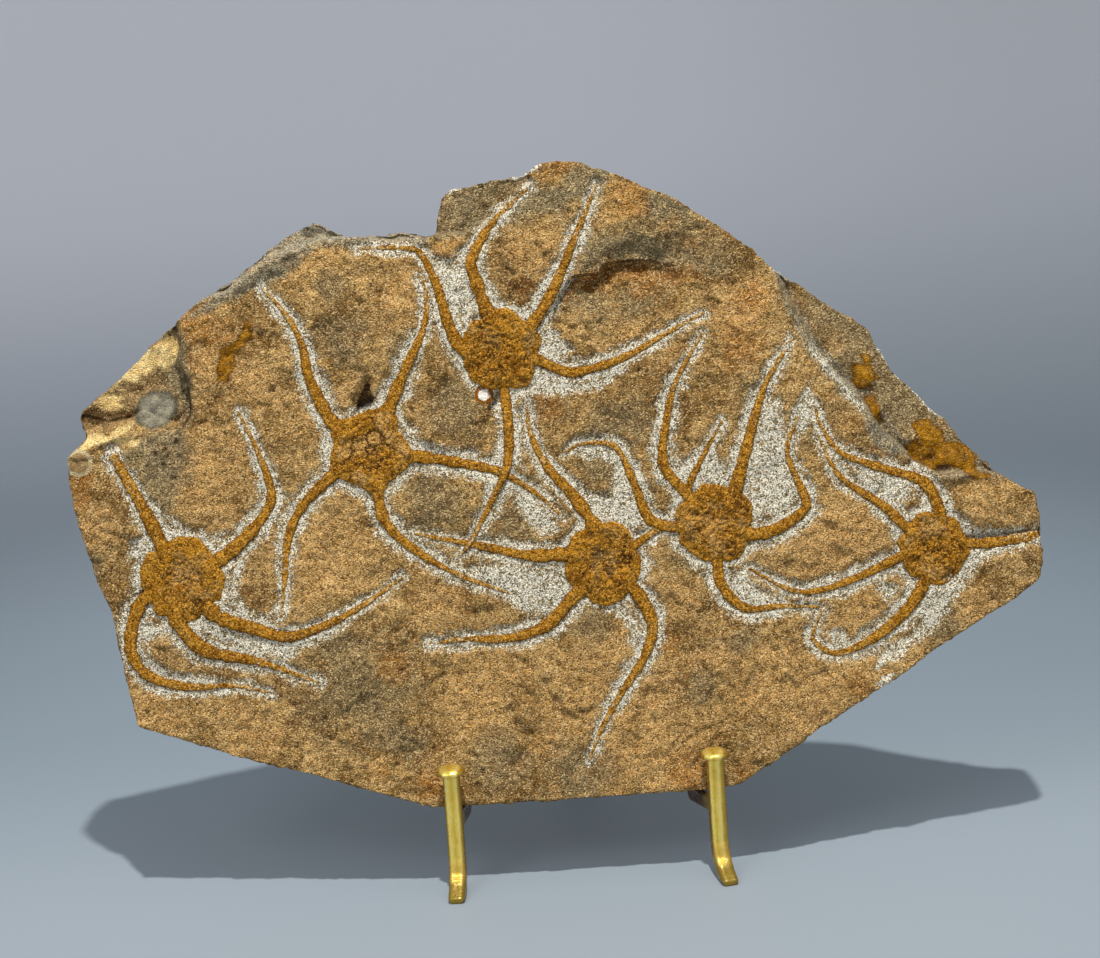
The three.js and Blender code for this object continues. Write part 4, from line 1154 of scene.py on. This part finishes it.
def fossil():
    """Iron-stained fossil: orange brown, dusted with sand, darker in its furrows and at its edges, partly
    its own dark lines and partly painted shade.
    """
    material, tree, shader, place = new_material("iron_stained_fossil")
    grain = placed(tree, GRAIN, Vector=place, Grain_Size=FOSSIL_GRAIN)
    blotch = placed(tree, BLOTCH, Vector=place, Size=9 * MM, Contrast=2.8)
    broad, fine, disc = blotch["Broad"], blotch["Fine"], attribute_value(tree, "disc")
    ragged, streak = centred_noise(tree, place, *FOSSIL_RAGGED), streaks(tree)

    body = mix(tree, broad, colour(138, 87, 2), colour(190, 132, 28))
    body = cover(tree, body, colour(172, 130, 62), 0.5, fine, 0.5, 1.0)
    patchy = math_node(tree, "MULTIPLY_ADD", disc, 0.75, -0.95)
    patchy = math_node(tree, "MULTIPLY_ADD", broad, 1.3, patchy)
    dusty = mix(tree, remap(tree, disc, 0.75, 1.1), colour(134, 106, 62), colour(192, 150, 90))
    body = cover(tree, body, dusty, 0.85, patchy, 0.0, 0.6)
    body = cover(tree, body, colour(98, 56, 4), 0.7, fine, 0.42, 0.08)
    body = cover(tree, body, colour(206, 146, 46), 0.6, streak, 0.5, 0.75)
    body = cover(tree, body, colour(88, 50, 2), 0.75, streak, 0.48, 0.25)
    # Painted shade in the arms' furrows and the discs' hollows and seams, partly the fossil's own dark
    # lines.
    body = mix(tree, spread(tree, "furrow", ragged, 1.4, 0.1, 0.9, 0.8), body, colour(72, 40, 4))
    body = mix(tree, plate_borders(tree, place, broad, disc), body, colour(62, 34, 6))
    # Painted shade down the arms' sides and round the discs' rims, partly the fossil's own dark outline.
    body = mix(tree, spread(tree, "edge", ragged, 1.6, 0.25, 0.95, 0.65), body, colour(98, 58, 8))
    body = mix(tree, math_node(tree, "MULTIPLY", grain["Pale"], 0.6), body, colour(216, 162, 72))
    body = mix(tree, math_node(tree, "MULTIPLY", grain["Dark"], 0.72), body, colour(66, 36, 2))
    sandy = math_node(tree, "POWER", attribute_value(tree, "along"), 2.0)
    sandy = math_node(tree, "MULTIPLY_ADD", sandy, 0.55, -0.12)
    sandy = math_node(tree, "ADD", sandy, ragged, clamp=True)
    dusting = placed(tree, PICK_MARKS, Vector=place, Dot_Size=FOSSIL_DOT, Amount=sandy)
    body = mix(tree, math_node(tree, "MULTIPLY", dusting["Bruise"], 0.8), body, colour(206, 186, 144))
    body = scaled(tree, body, grain["Fleck"])

    normal = bumped(tree, (grain["Height"], 0.3 * MM),
                    (noise_texture(tree, place, 1.2 * MM, 3.0, 0.6), 0.4 * MM),
                    (noise_texture(tree, place, 2.6 * MM, 5.0, 0.6), 0.8 * MM))
    feed_all(tree, shader, Base_Color=body, Roughness=0.75, Specular_IOR_Level=0.12, Normal=normal)
    return material


def cast_brass():
    """Yellow brass, sand-cast and hand-filed, with olive patina, painted highlights, and painted shade
    behind the slab and on the sides of the bars.
    """
    material, tree, shader, place = new_material("cast_brass")
    blotch = placed(tree, BLOTCH, Vector=place, Size=9 * MM, Contrast=2.4)
    fine, side, behind = blotch["Fine"], attribute_value(tree, "side"), attribute_value(tree, "behind")
    worn = node(tree, "ShaderNodeNewGeometry").outputs["Pointiness"]
    low = node(tree, "ShaderNodeSeparateXYZ", in_vector=place).outputs["Z"]

    body = mix(tree, blotch["Broad"], colour(250, 206, 84), colour(255, 228, 106))
    body = cover(tree, body, colour(158, 130, 48), 0.5, fine, 0.5, 1.0)
    body = cover(tree, body, colour(118, 92, 28), 0.8, worn, 0.48, 0.42)
    body = cover(tree, body, colour(255, 238, 168), 0.8, worn, 0.52, 0.62)
    # Painted shade on both sides of each bar, where its faces turn away.
    body = cover(tree, body, colour(112, 88, 26), 0.85, side, 0.15, 0.75)
    body = cover(tree, body, colour(104, 80, 22), 0.85, side, -0.55, -0.85)
    # Two painted highlights, bright bands towards each side of a bar, with duller metal painted away from
    # them.
    band = math_node(tree, "ABSOLUTE", math_node(tree, "ADD", side, 0.08))
    band = math_node(tree, "ABSOLUTE", math_node(tree, "SUBTRACT", band, 0.34))
    body = cover(tree, body, colour(210, 168, 66), 0.5, band, 0.2, 0.34)
    body = cover(tree, body, colour(255, 230, 136), 0.85, band, 0.2, 0.04)
    body = cover(tree, body, colour(196, 150, 62), 0.45, low, 13 * MM, 9 * MM)
    toe = remap(tree, low, 6.2 * MM, 4.4 * MM)
    body = mix(tree, math_node(tree, "MULTIPLY", toe, 0.85), body, colour(112, 92, 6))
    # Painted shade on the metal behind the slab's face.
    body = mix(tree, math_node(tree, "MULTIPLY", behind, 0.95), body, colour(84, 42, 14))

    # Duller, less metallic metal in the painted shade behind the slab and at the darker toes.
    shade_behind_and_toe = math_node(tree, "MAXIMUM", behind, toe)
    filed = node(tree, "ShaderNodeMapping", in_vector=place, in_scale=(1.0, 1.0, 0.12)).outputs[0]
    normal = bumped(tree, (noise_texture(tree, filed, 0.6 * MM), 0.03 * MM),
                    (noise_texture(tree, place, 3 * MM, 4.0), 0.25 * MM))
    feed_all(tree, shader, Base_Color=body, Metallic=remap(tree, shade_behind_and_toe, 0.0, 1.0, 0.76, 0.35),
             Roughness=remap(tree, fine, 0.2, 0.9, 0.2, 0.42), Normal=normal)
    return material


# ---------------------------------------------------------------- arms
ARM_STEP = 0.45                     # millimetres between rings of an arm
LINE_STEP = 1.0                     # millimetres between points of an arm's centre line
DRAPE_REACH = 5                     # neighbours averaged when an arm is laid on the rough stone
OVER_LIFT, OVER_SPREAD = 1.0, 4.0   # how far an arm rises over another, and along how much of it
SIT = 0.12                          # the line's height over the stone, in half widths
FULLNESS = 1.05                     # an arm's narrowest rings, as a share of its width
FURROW_NARROWNESS = -14.0           # how fast the furrow dies out to both sides
FLATNESS = 0.7                      # below 1, the power that makes an arm's section squarer
WANDER_SCALE, SKIN_SCALE = 0.35, 0.9    # scales of an arm's uneven width and of its rough skin
FIRST_ARM_SEED = 4.0


def set_input(modifier, tree, **values):
    """Sets a modifier's inputs by their sockets' identifiers."""
    sockets = [item for item in tree.interface.items_tree if item.item_type == "SOCKET"]
    identifiers = {socket.name: socket.identifier for socket in sockets}
    for label, value in values.items():
        modifier[identifiers[label.replace("_", " ")]] = value


def stored(tree, geometry, name, value):
    """The geometry with a value stored at its points."""
    made = node(tree, "GeometryNodeStoreNamedAttribute", data_type="FLOAT", domain="POINT",
                in_geometry=geometry, in_name=name, in_value=value)
    return made.outputs[0]


def arm_section(tree, inp, place):
    """The arm's section: a flattened ring with a furrow along its top."""
    ring = node(tree, "GeometryNodeCurvePrimitiveCircle", in_resolution=16, in_radius=1.0).outputs[0]
    at = node(tree, "ShaderNodeSeparateXYZ", in_vector=place).outputs
    squared = math_node(tree, "MULTIPLY", at[0], at[0])
    upper = math_node(tree, "GREATER_THAN", at[1], 0.0)
    narrow = math_node(tree, "EXPONENT", math_node(tree, "MULTIPLY", squared, FURROW_NARROWNESS))
    groove = math_node(tree, "MULTIPLY", upper, narrow)
    # furrow and edge carry painted shade, in the groove along the top and down the sides, partly the
    # fossil's own dark lines.
    for name, value in (("across", at[0]), ("furrow", groove), ("edge", squared)):
        ring = stored(tree, ring, name, value)
    flatter = math_node(tree, "POWER", math_node(tree, "ABSOLUTE", at[1]), FLATNESS)
    flatter = math_node(tree, "MULTIPLY", flatter, math_node(tree, "SIGN", at[1]))
    high = math_node(tree, "MULTIPLY_ADD", groove, math_node(tree, "MULTIPLY", inp["Furrow Depth"], -1.0),
                     math_node(tree, "MULTIPLY", flatter, inp["Relief"]))
    section = node(tree, "ShaderNodeCombineXYZ", in_0=at[0], in_1=high, in_2=0.0).outputs[0]
    return node(tree, "GeometryNodeSetPosition", in_geometry=ring, in_position=section).outputs[0]


def arm_scale(tree, inp, place, along):
    """The arm's half width at each ring, swelling in each segment and a little uneven."""
    turns = math_node(tree, "DIVIDE", along, inp["Segment Length"])
    swell = math_node(tree, "SINE", math_node(tree, "MULTIPLY", turns, math.pi))
    swell = math_node(tree, "ABSOLUTE", swell)
    swell = math_node(tree, "MULTIPLY_ADD", swell, inp["Segment Swell"], FULLNESS)
    wander = node(tree, "ShaderNodeTexNoise", noise_dimensions="4D", in_vector=place, in_w=inp["Seed"],
                  in_scale=WANDER_SCALE, in_detail=3.0).outputs[0]
    wander = math_node(tree, "SUBTRACT", wander, 0.5)
    uneven = math_node(tree, "MULTIPLY_ADD", wander, inp["Unevenness"], swell)
    width = node(tree, "GeometryNodeInputNamedAttribute", data_type="FLOAT", in_name="half_width")
    return math_node(tree, "MULTIPLY", width.outputs[0], uneven)


def arm_tree():
    """Turns centre lines into segmented arms with a furrow along the middle."""
    geometry = "NodeSocketGeometry"
    tree, inp, out = new_group("GeometryNodeTree", "segmented_arms",
                               [("Geometry", geometry), ("Ring Step", FLOAT, ARM_STEP),
                                ("Segment Length", FLOAT, 1.35), ("Segment Swell", FLOAT, 0.12),
                                ("Relief", FLOAT, 0.46), ("Furrow Depth", FLOAT, 0.17),
                                ("Unevenness", FLOAT, 1.3), ("Skin", FLOAT, 0.5), ("Seed", FLOAT, 4.0),
                                ("Finish", "NodeSocketMaterial")],
                               [("Geometry", geometry)])
    curve = node(tree, "GeometryNodeMeshToCurve", in_mesh=inp["Geometry"]).outputs[0]
    curve = node(tree, "GeometryNodeResampleCurve", mode="LENGTH", in_curve=curve,
                 in_length=inp["Ring Step"]).outputs[0]
    curve = node(tree, "GeometryNodeSetCurveNormal", mode="Z_UP", in_curve=curve).outputs[0]
    along = node(tree, "GeometryNodeSplineParameter").outputs["Length"]
    curve = stored(tree, curve, "run", along)

    place = node(tree, "GeometryNodeInputPosition").outputs[0]
    section, scale = arm_section(tree, inp, place), arm_scale(tree, inp, place, along)
    arms = node(tree, "GeometryNodeCurveToMesh", in_curve=curve, in_profile_curve=section, in_scale=scale,
                in_fill_caps=True).outputs[0]
    grit = node(tree, "ShaderNodeTexNoise", noise_dimensions="4D", in_vector=place, in_w=inp["Seed"],
                in_scale=SKIN_SCALE, in_detail=4.0, in_roughness=0.6).outputs[0]
    push = math_node(tree, "MULTIPLY", math_node(tree, "SUBTRACT", grit, 0.5), inp["Skin"])
    outward = scaled(tree, node(tree, "GeometryNodeInputNormal").outputs[0], push)
    arms = node(tree, "GeometryNodeSetPosition", in_geometry=arms, in_offset=outward).outputs[0]
    arms = node(tree, "GeometryNodeSetShadeSmooth", in_geometry=arms).outputs[0]
    arms = node(tree, "GeometryNodeRealizeInstances", in_geometry=arms).outputs[0]
    arms = node(tree, "GeometryNodeSetMaterial", in_geometry=arms, in_material=inp["Finish"]).outputs[0]
    tree.links.new(arms, out["Geometry"])
    return tree


def centre_lines(star, tree):
    """The star's arms as open lines of points laid on the stone, with a half width at each point."""
    kernel = np.ones(2 * DRAPE_REACH + 1) / (2 * DRAPE_REACH + 1)
    points, edges, widths, ways = [], [], [], []
    for arm in star["arms"]:
        line, along = arm_run(star, arm, LINE_STEP)
        level = np.array([ground(tree, u, v) for u, v in line])
        level = np.convolve(np.pad(level, DRAPE_REACH, mode="edge"), kernel, mode="valid")
        half = half_widths(arm, along)
        for u, v in arm.get("over", ()):
            away = (line[:, 0] - u) ** 2 + (line[:, 1] - v) ** 2
            level += OVER_LIFT * np.exp(-away / OVER_SPREAD**2)
        level += SIT * half
        start = len(points)
        points += [(u, v, z) for (u, v), z in zip(line, level)]
        widths += list(half)
        ways += list(along)
        edges += [(i, i + 1) for i in range(start, len(points) - 1)]
    mesh = bpy.data.meshes.new("arm_lines")
    mesh.from_pydata(points, edges, [])
    store(mesh, "half_width", widths)
    store(mesh, "along", ways)
    return mesh


# ---------------------------------------------------------------- discs
DISC_RINGS, DISC_SIDES = 34, 120
DISC_RISE = 1.7                     # the middle of a disc over the stone round it
DISC_SKIRT = 1.3                    # its rim goes this far into the stone
DISC_SPREAD = 1.01                  # the rim's middle distance out, as a share of the disc's radius
RIM_RAGGED, RIM_NOISE_SCALE = 0.12, 1.6    # how far the rim wanders, and how fast
RIM_NOISE = (0.8, 2.0, 4)           # its noise: fall in strength, gain in fineness, and octaves
RIM_DRAWN_IN = 0.4                  # how far a starry rim draws in between its points
PLANE_SAMPLE = 7                    # every so many points of a disc, the stone under it is measured
ARM_POINT, LOBE_REACH = 0.28, 0.5   # angles over which the rim runs out to an arm, or in beside it
# How far the rim points out to the arms and swells between them, how much sand lies on the disc,
# and how lumpy it is: for a disc worn down to its rosette, and for the usual one.
WORN = {"starry": 0.2, "lobed": 0.0, "sandy": 1.25, "bumps": 0.45}
SWOLLEN = {"starry": 0.05, "lobed": 0.15, "sandy": 0.75, "bumps": 0.85}
DOME_POWER, DOME_LEAST, DOME_SWELL, DOME_TURN = 3.2, 0.72, 0.28, 0.9
RIDGE_WIDTH, RIDGE_FROM, RIDGE_RISE = 2.0, 0.25, 0.3    # ridges that run in from the arms
PETAL_REACH, PETAL_SIZE = 0.29, 0.185    # the rosette, as shares of the disc's radius
PETAL_RAGGED, SEAM_AT, SEAM_WIDTH = 0.4, 1.1, 0.18
RIDGE_HEIGHT, FINE_HEIGHT, PETAL_HEIGHT, SEAM_DEPTH = 0.4, 0.5, 0.25, 0.45
# How far in from the rim the lumps fade, how far in the painted shade at the rim reaches and how strong it
# is, and how far in the sand fades.
EDGE_FADE, EDGE_SHADE, EDGE_TINT, SAND_FADE = 0.12, 0.14, 0.7, 0.2
RADIAL_STREAKS = 4.0                # how fast the streaks change round a disc
MIDDLE_RISE = 0.5                   # the very middle's share of the disc's rise
LUMP_NOISE, FINE_NOISE, SAND_NOISE = (3.0, 4), (1.0, 2), (9.0, 2)    # size in millimetres, octaves
# What sets the painted shade in a disc, as in its furrows: hollows between lumps, fine hollows and seams.
DARK_HOLLOWS, DARK_FINE, DARK_SEAMS, DARKEST = 0.7, 0.6, 1.4, 1.3
LIGHT_RIDGES = 0.2                  # and how much less dark its ridges are
# The spots: where their edge lies, how ragged it is, and what they do to the lumps and the sand.
SPOT_EDGE, SPOT_RAGGED, SPOT_CALM, SPOT_SAND = 1.5, 0.3, 0.7, 1.05
SAND_USUAL, SAND_VARIES, SAND_RANGE = 0.75, 1.1, (0.1, 1.25)


def disc_noise(flat, level, size, octaves):
    """Noise over the disc, each at a level of its own so that no two are alike."""
    return rough(np.column_stack([flat, np.full(len(flat), level)]), size, octaves)


def disc_rim(star, kind, angles, seed):
    """Directions round the disc, how far each is from the nearest arm, and the rim's distance out."""
    turn = np.linspace(0, 2 * math.pi, DISC_SIDES, endpoint=False)
    to_arm = np.min([np.abs((turn - a + math.pi) % (2 * math.pi) - math.pi) for a in angles], axis=0)
    around = [(math.cos(t) * RIM_NOISE_SCALE + seed, math.sin(t) * RIM_NOISE_SCALE, seed) for t in turn]
    ragged = np.array([noise.fractal(place, *RIM_NOISE) for place in around])
    starry, lobed = kind["starry"], kind["lobed"]
    rim = star["radius"] * (DISC_SPREAD - RIM_DRAWN_IN * starry + RIM_RAGGED * ragged
                            + starry * np.exp(-(to_arm / ARM_POINT) ** 2)
                            + lobed * (smooth_step(to_arm / LOBE_REACH) - 0.5))
    return turn, to_arm, rim


def stone_plane(tree, flat):
    """The plane that fits the stone under a disc best, as slopes along u and v, and a height."""
    sample = flat[::PLANE_SAMPLE]
    level = np.array([ground(tree, *p) for p in sample])
    return np.linalg.lstsq(np.column_stack([sample, np.ones(len(level))]), level, rcond=None)[0]


def rosette(star, flat, angles, fine):
    """Petals at the middle of a worn disc, and the seams round them."""
    away = np.full(len(flat), np.inf)
    for angle in angles:
        outward = np.array([math.cos(angle), math.sin(angle)])
        middle = star["disc"] + star["radius"] * PETAL_REACH * outward
        away = np.minimum(away, np.hypot(*(flat - middle).T) / (star["radius"] * PETAL_SIZE))
    away += PETAL_RAGGED * fine
    return np.clip(1 - away, 0, 1), np.exp(-((away - SEAM_AT) / SEAM_WIDTH) ** 2)


def spot_cover(flat, spot, fine):
    """How far a ragged round spot covers each point."""
    u, v, reach = spot
    away = np.hypot(flat[:, 0] - u, flat[:, 1] - v)
    return smooth_step(SPOT_EDGE - away / reach + SPOT_RAGGED * fine)


def disc_faces():
    """Triangles round the middle point, rings of four-sided faces, and a closed underside."""
    faces = []
    last_ring, last = 1 + (DISC_RINGS - 1) * DISC_SIDES, 1 + DISC_RINGS * DISC_SIDES
    for i in range(DISC_SIDES):
        j = (i + 1) % DISC_SIDES
        faces.append((0, 1 + i, 1 + j))
        for k in range(DISC_RINGS - 1):
            a, b = 1 + k * DISC_SIDES, 1 + (k + 1) * DISC_SIDES
            faces.append((a + i, b + i, b + j, a + j))
        faces.append((last_ring + j, last_ring + i, last))
    return faces


def disc_mesh(star, tree, seed):
    """A low lumpy disc: ridges run in from the arms, and swellings lie between them."""
    kind = WORN if star.get("rosette") else SWOLLEN
    middle_u, middle_v = star["disc"]
    starts = [arm["run"][0] for arm in star["arms"]]
    angles = [math.atan2(v - middle_v, u - middle_u) for u, v in starts]
    turn, to_arm, rim = disc_rim(star, kind, angles, seed)
    share = np.linspace(0, 1, DISC_RINGS + 1)[1:]
    flat = np.column_stack([(middle_u + np.outer(share, rim * np.cos(turn))).ravel(),
                            (middle_v + np.outer(share, rim * np.sin(turn))).ravel()])
    slope_u, slope_v, level = stone_plane(tree, flat)
    base = flat @ np.array([slope_u, slope_v]) + level
    r, toward = np.repeat(share, DISC_SIDES), np.tile(to_arm, DISC_RINGS)

    dome = DISC_RISE * np.sqrt(np.clip(1 - r**DOME_POWER, 0, 1))
    dome = dome * (DOME_LEAST + DOME_SWELL * np.cos(math.pi * (1 - r) * DOME_TURN))
    ridge = np.exp(-((toward * r * star["radius"]) / RIDGE_WIDTH) ** 2)
    ridge = ridge * np.clip((r - RIDGE_FROM) / RIDGE_RISE, 0, 1)
    lumps, fine = disc_noise(flat, seed * 9, *LUMP_NOISE), disc_noise(flat, seed * 5, *FINE_NOISE)
    petals, seams = np.zeros(len(flat)), np.zeros(len(flat))
    if star.get("rosette"):
        petals, seams = rosette(star, flat, angles, fine)
    fade = np.clip((1 - r) / EDGE_FADE, 0, 1)
    patchy = SAND_USUAL + SAND_VARIES * disc_noise(flat, seed * 3, *SAND_NOISE)
    sandy = kind["sandy"] * np.clip(patchy, *SAND_RANGE)
    for spot in star.get("clean", []):
        covered = spot_cover(flat, spot, fine)
        sandy, lumps = sandy * (1 - covered), lumps * (1 - SPOT_CALM * covered)
    for spot in star.get("sanded", []):
        sandy = sandy + (SPOT_SAND - sandy) * spot_cover(flat, spot, fine)
    height = base + dome + fade * (RIDGE_HEIGHT * ridge + kind["bumps"] * lumps + FINE_HEIGHT * fine
                                   + PETAL_HEIGHT * petals - SEAM_DEPTH * seams)
    height[-DISC_SIDES:] = base[-DISC_SIDES:] - DISC_SKIRT

    middle = float(slope_u * middle_u + slope_v * middle_v + level)
    points = [(middle_u, middle_v, middle + DISC_RISE * MIDDLE_RISE)]
    points += np.column_stack([flat, height]).tolist()
    points.append((middle_u, middle_v, middle - DISC_SKIRT))
    mesh = bpy.data.meshes.new("disc")
    mesh.from_pydata(points, [], disc_faces())
    hollow = (-kind["bumps"] * (DARK_HOLLOWS * lumps + DARK_FINE * fine) - LIGHT_RIDGES * ridge
              + DARK_SEAMS * seams)
    # furrow and edge carry painted shade, in the hollows and seams and at the rim, partly the fossil's own
    # dark lines.
    for name, values in (("furrow", np.clip(hollow, 0, DARKEST) * fade),
                         ("edge", np.clip((r - 1 + EDGE_SHADE) / EDGE_SHADE, 0, 1) ** 2 * EDGE_TINT),
                         ("disc", sandy * np.clip((1 - r) / SAND_FADE, 0, 1)),
                         ("along", np.zeros(len(flat))), ("across", np.zeros(len(flat))),
                         ("run", np.tile(turn * RADIAL_STREAKS, DISC_RINGS))):
        store(mesh, name, np.concatenate([[0], values, [0]]))
    mesh.shade_smooth()
    return mesh


def joined(name, *objects):
    with bpy.context.temp_override(active_object=objects[0], object=objects[0], selected_objects=objects,
                                   selected_editable_objects=objects):
        bpy.ops.object.join()
    objects[0].name = name
    return objects[0]


def build_star(name, tree, arms, finish, seed):
    star = STARS[name]
    obj = new_object(name + "_arms", centre_lines(star, tree))
    segments = obj.modifiers.new("Segmented arms", "NODES")
    segments.node_group = arms
    set_input(segments, arms, Seed=FIRST_ARM_SEED + seed, Finish=finish)
    obj.data = baked(obj)
    disc = new_object(name + "_disc", disc_mesh(star, tree, seed))
    disc.data.materials.append(finish)
    obj = joined(name + "_fossil", obj, disc)
    set_coordinates(obj.data, moved(coordinates(obj.data), FACE_TO_WORLD))
    return obj


# ---------------------------------------------------------------- easel
CAST_VOXEL = 0.42 * MM
FIRST_SMOOTHING = 2
CAST_SMOOTHING, GROW_BACK = 9, -0.52    # rounds of smoothing, each with a growth back against shrinking
ROUNDED = 70                        # smoothing that shows which part of a bar is near its side
CAST_WAVE = 0.05                    # millimetres of unevenness left by the sand mould
CAST_NOISE, CAST_LEVEL = (4.0, 3, 2.2), 0.6
BEHIND_FROM, BEHIND_FULL = 1, 6     # millimetres behind the face where painted shade starts, and is full


def build_casting(cad, name, finish):
    """A brass piece with the soft edges and faint waves of a sand casting."""
    obj = welded_copy(name, cad)
    mesh = remeshed(obj, CAST_VOXEL)
    edges = mesh_edges(mesh)
    points = laplacian(coordinates(mesh), edges, FIRST_SMOOTHING)
    for _ in range(CAST_SMOOTHING):
        points = laplacian(laplacian(points, edges, 1), edges, 1, GROW_BACK)
    set_coordinates(mesh, points)
    normals = vertex_normals(mesh)
    uneven = rough(points / MM, *CAST_NOISE) - CAST_LEVEL
    set_coordinates(mesh, laplacian(points, edges, ROUNDED))
    rounded = vertex_normals(mesh)
    set_coordinates(mesh, points + normals * (uneven * CAST_WAVE * MM)[:, None])
    # How far each point lies behind the slab's face, for the painted shade there.
    behind = -moved(coordinates(mesh), WORLD_TO_FACE)[:, 2]
    store(mesh, "behind", ramp(behind, BEHIND_FROM, BEHIND_FULL))
    # Which way each point faces across a bar, for the painted highlights and painted shade on its sides.
    store(mesh, "side", rounded[:, 0])
    mesh.shade_smooth()
    mesh.materials.append(finish)
    obj.data = mesh
    return obj


# ---------------------------------------------------------------- studio
VIEW_DISTANCE = 0.90
FOCAL_LENGTH, SENSOR_WIDTH = 90.6, 36
ROLL = math.radians(3.8)
VIEW_POINT = (-3.6, 105.3, 0)       # the middle of the view, millimetres on the face

KEY_PLACE, KEY_AIM = (0.092, -0.64, 2.29), (0, -0.06, 0)
KEY_SIZE, KEY_POWER, KEY_CONE = 0.07, 202, math.radians(26)
KEY_TINT = (1.0, 0.975, 0.94)
WINDOW_PLACE, WINDOW_AIM = (-0.9, -1.1, 1.3), (0, 0, 0.1)
WINDOW_SIZE, WINDOW_POWER = 0.8, 5
FILL, FILL_TINT = 0.62, (0.92, 0.96, 1.0, 1)

SWEEP_HALF_WIDTH, SWEEP_FRONT, SWEEP_BACK, SWEEP_TOP = 5.0, -2.5, 2.4, 4.0
SWEEP_BEND, SWEEP_STEPS = 1.4, 24   # radius of the bend from floor to backdrop, and its faces


def build_camera():
    data = bpy.data.cameras.new("camera")
    data.lens = FOCAL_LENGTH
    data.sensor_width = SENSOR_WIDTH
    camera = new_object("camera", data)
    target = FACE_TO_WORLD @ Vector(VIEW_POINT)
    right = U_AXIS * math.cos(ROLL) - V_AXIS * math.sin(ROLL)
    up = V_AXIS * math.cos(ROLL) + U_AXIS * math.sin(ROLL)
    turned = Matrix((right, up, W_AXIS)).transposed().to_4x4()
    camera.matrix_world = Matrix.Translation(target + W_AXIS * VIEW_DISTANCE) @ turned
    bpy.context.scene.camera = camera


def build_stage():
    """A pale sweep, a floor that curves up into a backdrop, with painted light and shade on it."""
    line = [(SWEEP_FRONT, 0.0)]
    for i in range(SWEEP_STEPS + 1):
        a = math.pi / 2 * i / SWEEP_STEPS
        back = SWEEP_BACK - SWEEP_BEND + SWEEP_BEND * math.sin(a)
        line.append((back, SWEEP_BEND - SWEEP_BEND * math.cos(a)))
    line.append((SWEEP_BACK, SWEEP_TOP))
    mesh = bpy.data.meshes.new("sweep")
    points = [(x, y, z) for y, z in line for x in (-SWEEP_HALF_WIDTH, SWEEP_HALF_WIDTH)]
    mesh.from_pydata(points, [], [(2 * i, 2 * i + 1, 2 * i + 3, 2 * i + 2) for i in range(len(line) - 1)])
    mesh.shade_smooth()
    sweep = new_object("studio_sweep", mesh)
    material, tree, shader, place = new_material("board_with_painted_light")
    at = node(tree, "ShaderNodeSeparateXYZ", in_vector=place).outputs
    # Painted light: the floor darker from in front of the slab to just behind it, where the key light
    # falls off, then paler on up the backdrop as if lit from above, and darker towards the right.
    tone = mix(tree, remap(tree, at[1], -0.06, 0.14), colour(140, 150, 158), colour(124, 137, 147))
    tone = cover(tree, tone, colour(217, 218, 224), 1.0, at[1], 0.15, 1.4)
    tone = cover(tree, tone, colour(124, 138, 138), 0.22, at[0], 0.0, 0.45)
    feed_all(tree, shader, Base_Color=tone, Roughness=0.6)
    mesh.materials.append(material)


def build_lights():
    """A hard key from above, a faint window on the left, and soft light from all round."""
    key = bpy.data.lights.new("key", "SPOT")
    key.energy = KEY_POWER
    key.color = KEY_TINT
    key.shadow_soft_size = KEY_SIZE / 2
    key.spot_size = KEY_CONE
    key.spot_blend = 1.0
    window = bpy.data.lights.new("window", "AREA")
    window.shape = "DISK"
    window.size = WINDOW_SIZE
    window.energy = WINDOW_POWER
    for light, place, aim in ((key, KEY_PLACE, KEY_AIM), (window, WINDOW_PLACE, WINDOW_AIM)):
        lamp = new_object(light.name, light)
        lamp.location = place
        lamp.rotation_euler = (Vector(aim) - Vector(place)).to_track_quat("-Z", "Y").to_euler()
    world = bpy.data.worlds.new("room")
    world.use_nodes = True
    background = world.node_tree.nodes["Background"]
    background.inputs["Color"].default_value = FILL_TINT
    background.inputs["Strength"].default_value = FILL
    bpy.context.scene.world = world
    bpy.context.scene.view_settings.view_transform = "Standard"


# ---------------------------------------------------------------- the whole object
# The easel's CAD nodes, and the names of the pieces that stand in their place.
EASEL = {"left_leg": "left_cast_leg", "right_leg": "right_cast_leg",
         "cross_rod": "hinge_rod", "rear_leg": "rear_prop"}


def build_object():
    stone, iron_stain, brass = sandstone(), fossil(), cast_brass()
    slab, tree = build_slab()
    slab.data.materials.append(stone)
    pieces = [(slab, "slab", "sandstone")]
    arms = arm_tree()
    for seed, name in enumerate(STARS, start=1):
        pieces.append((build_star(name, tree, arms, iron_stain, float(seed)), name, "fossil"))
    for cad, name in EASEL.items():
        pieces.append((build_casting(cad, name, brass), cad, "brass"))
    for piece, cad, slot in pieces:
        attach(piece, "root")
        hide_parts(cad)


build_camera()
build_stage()
build_lights()
build_object()
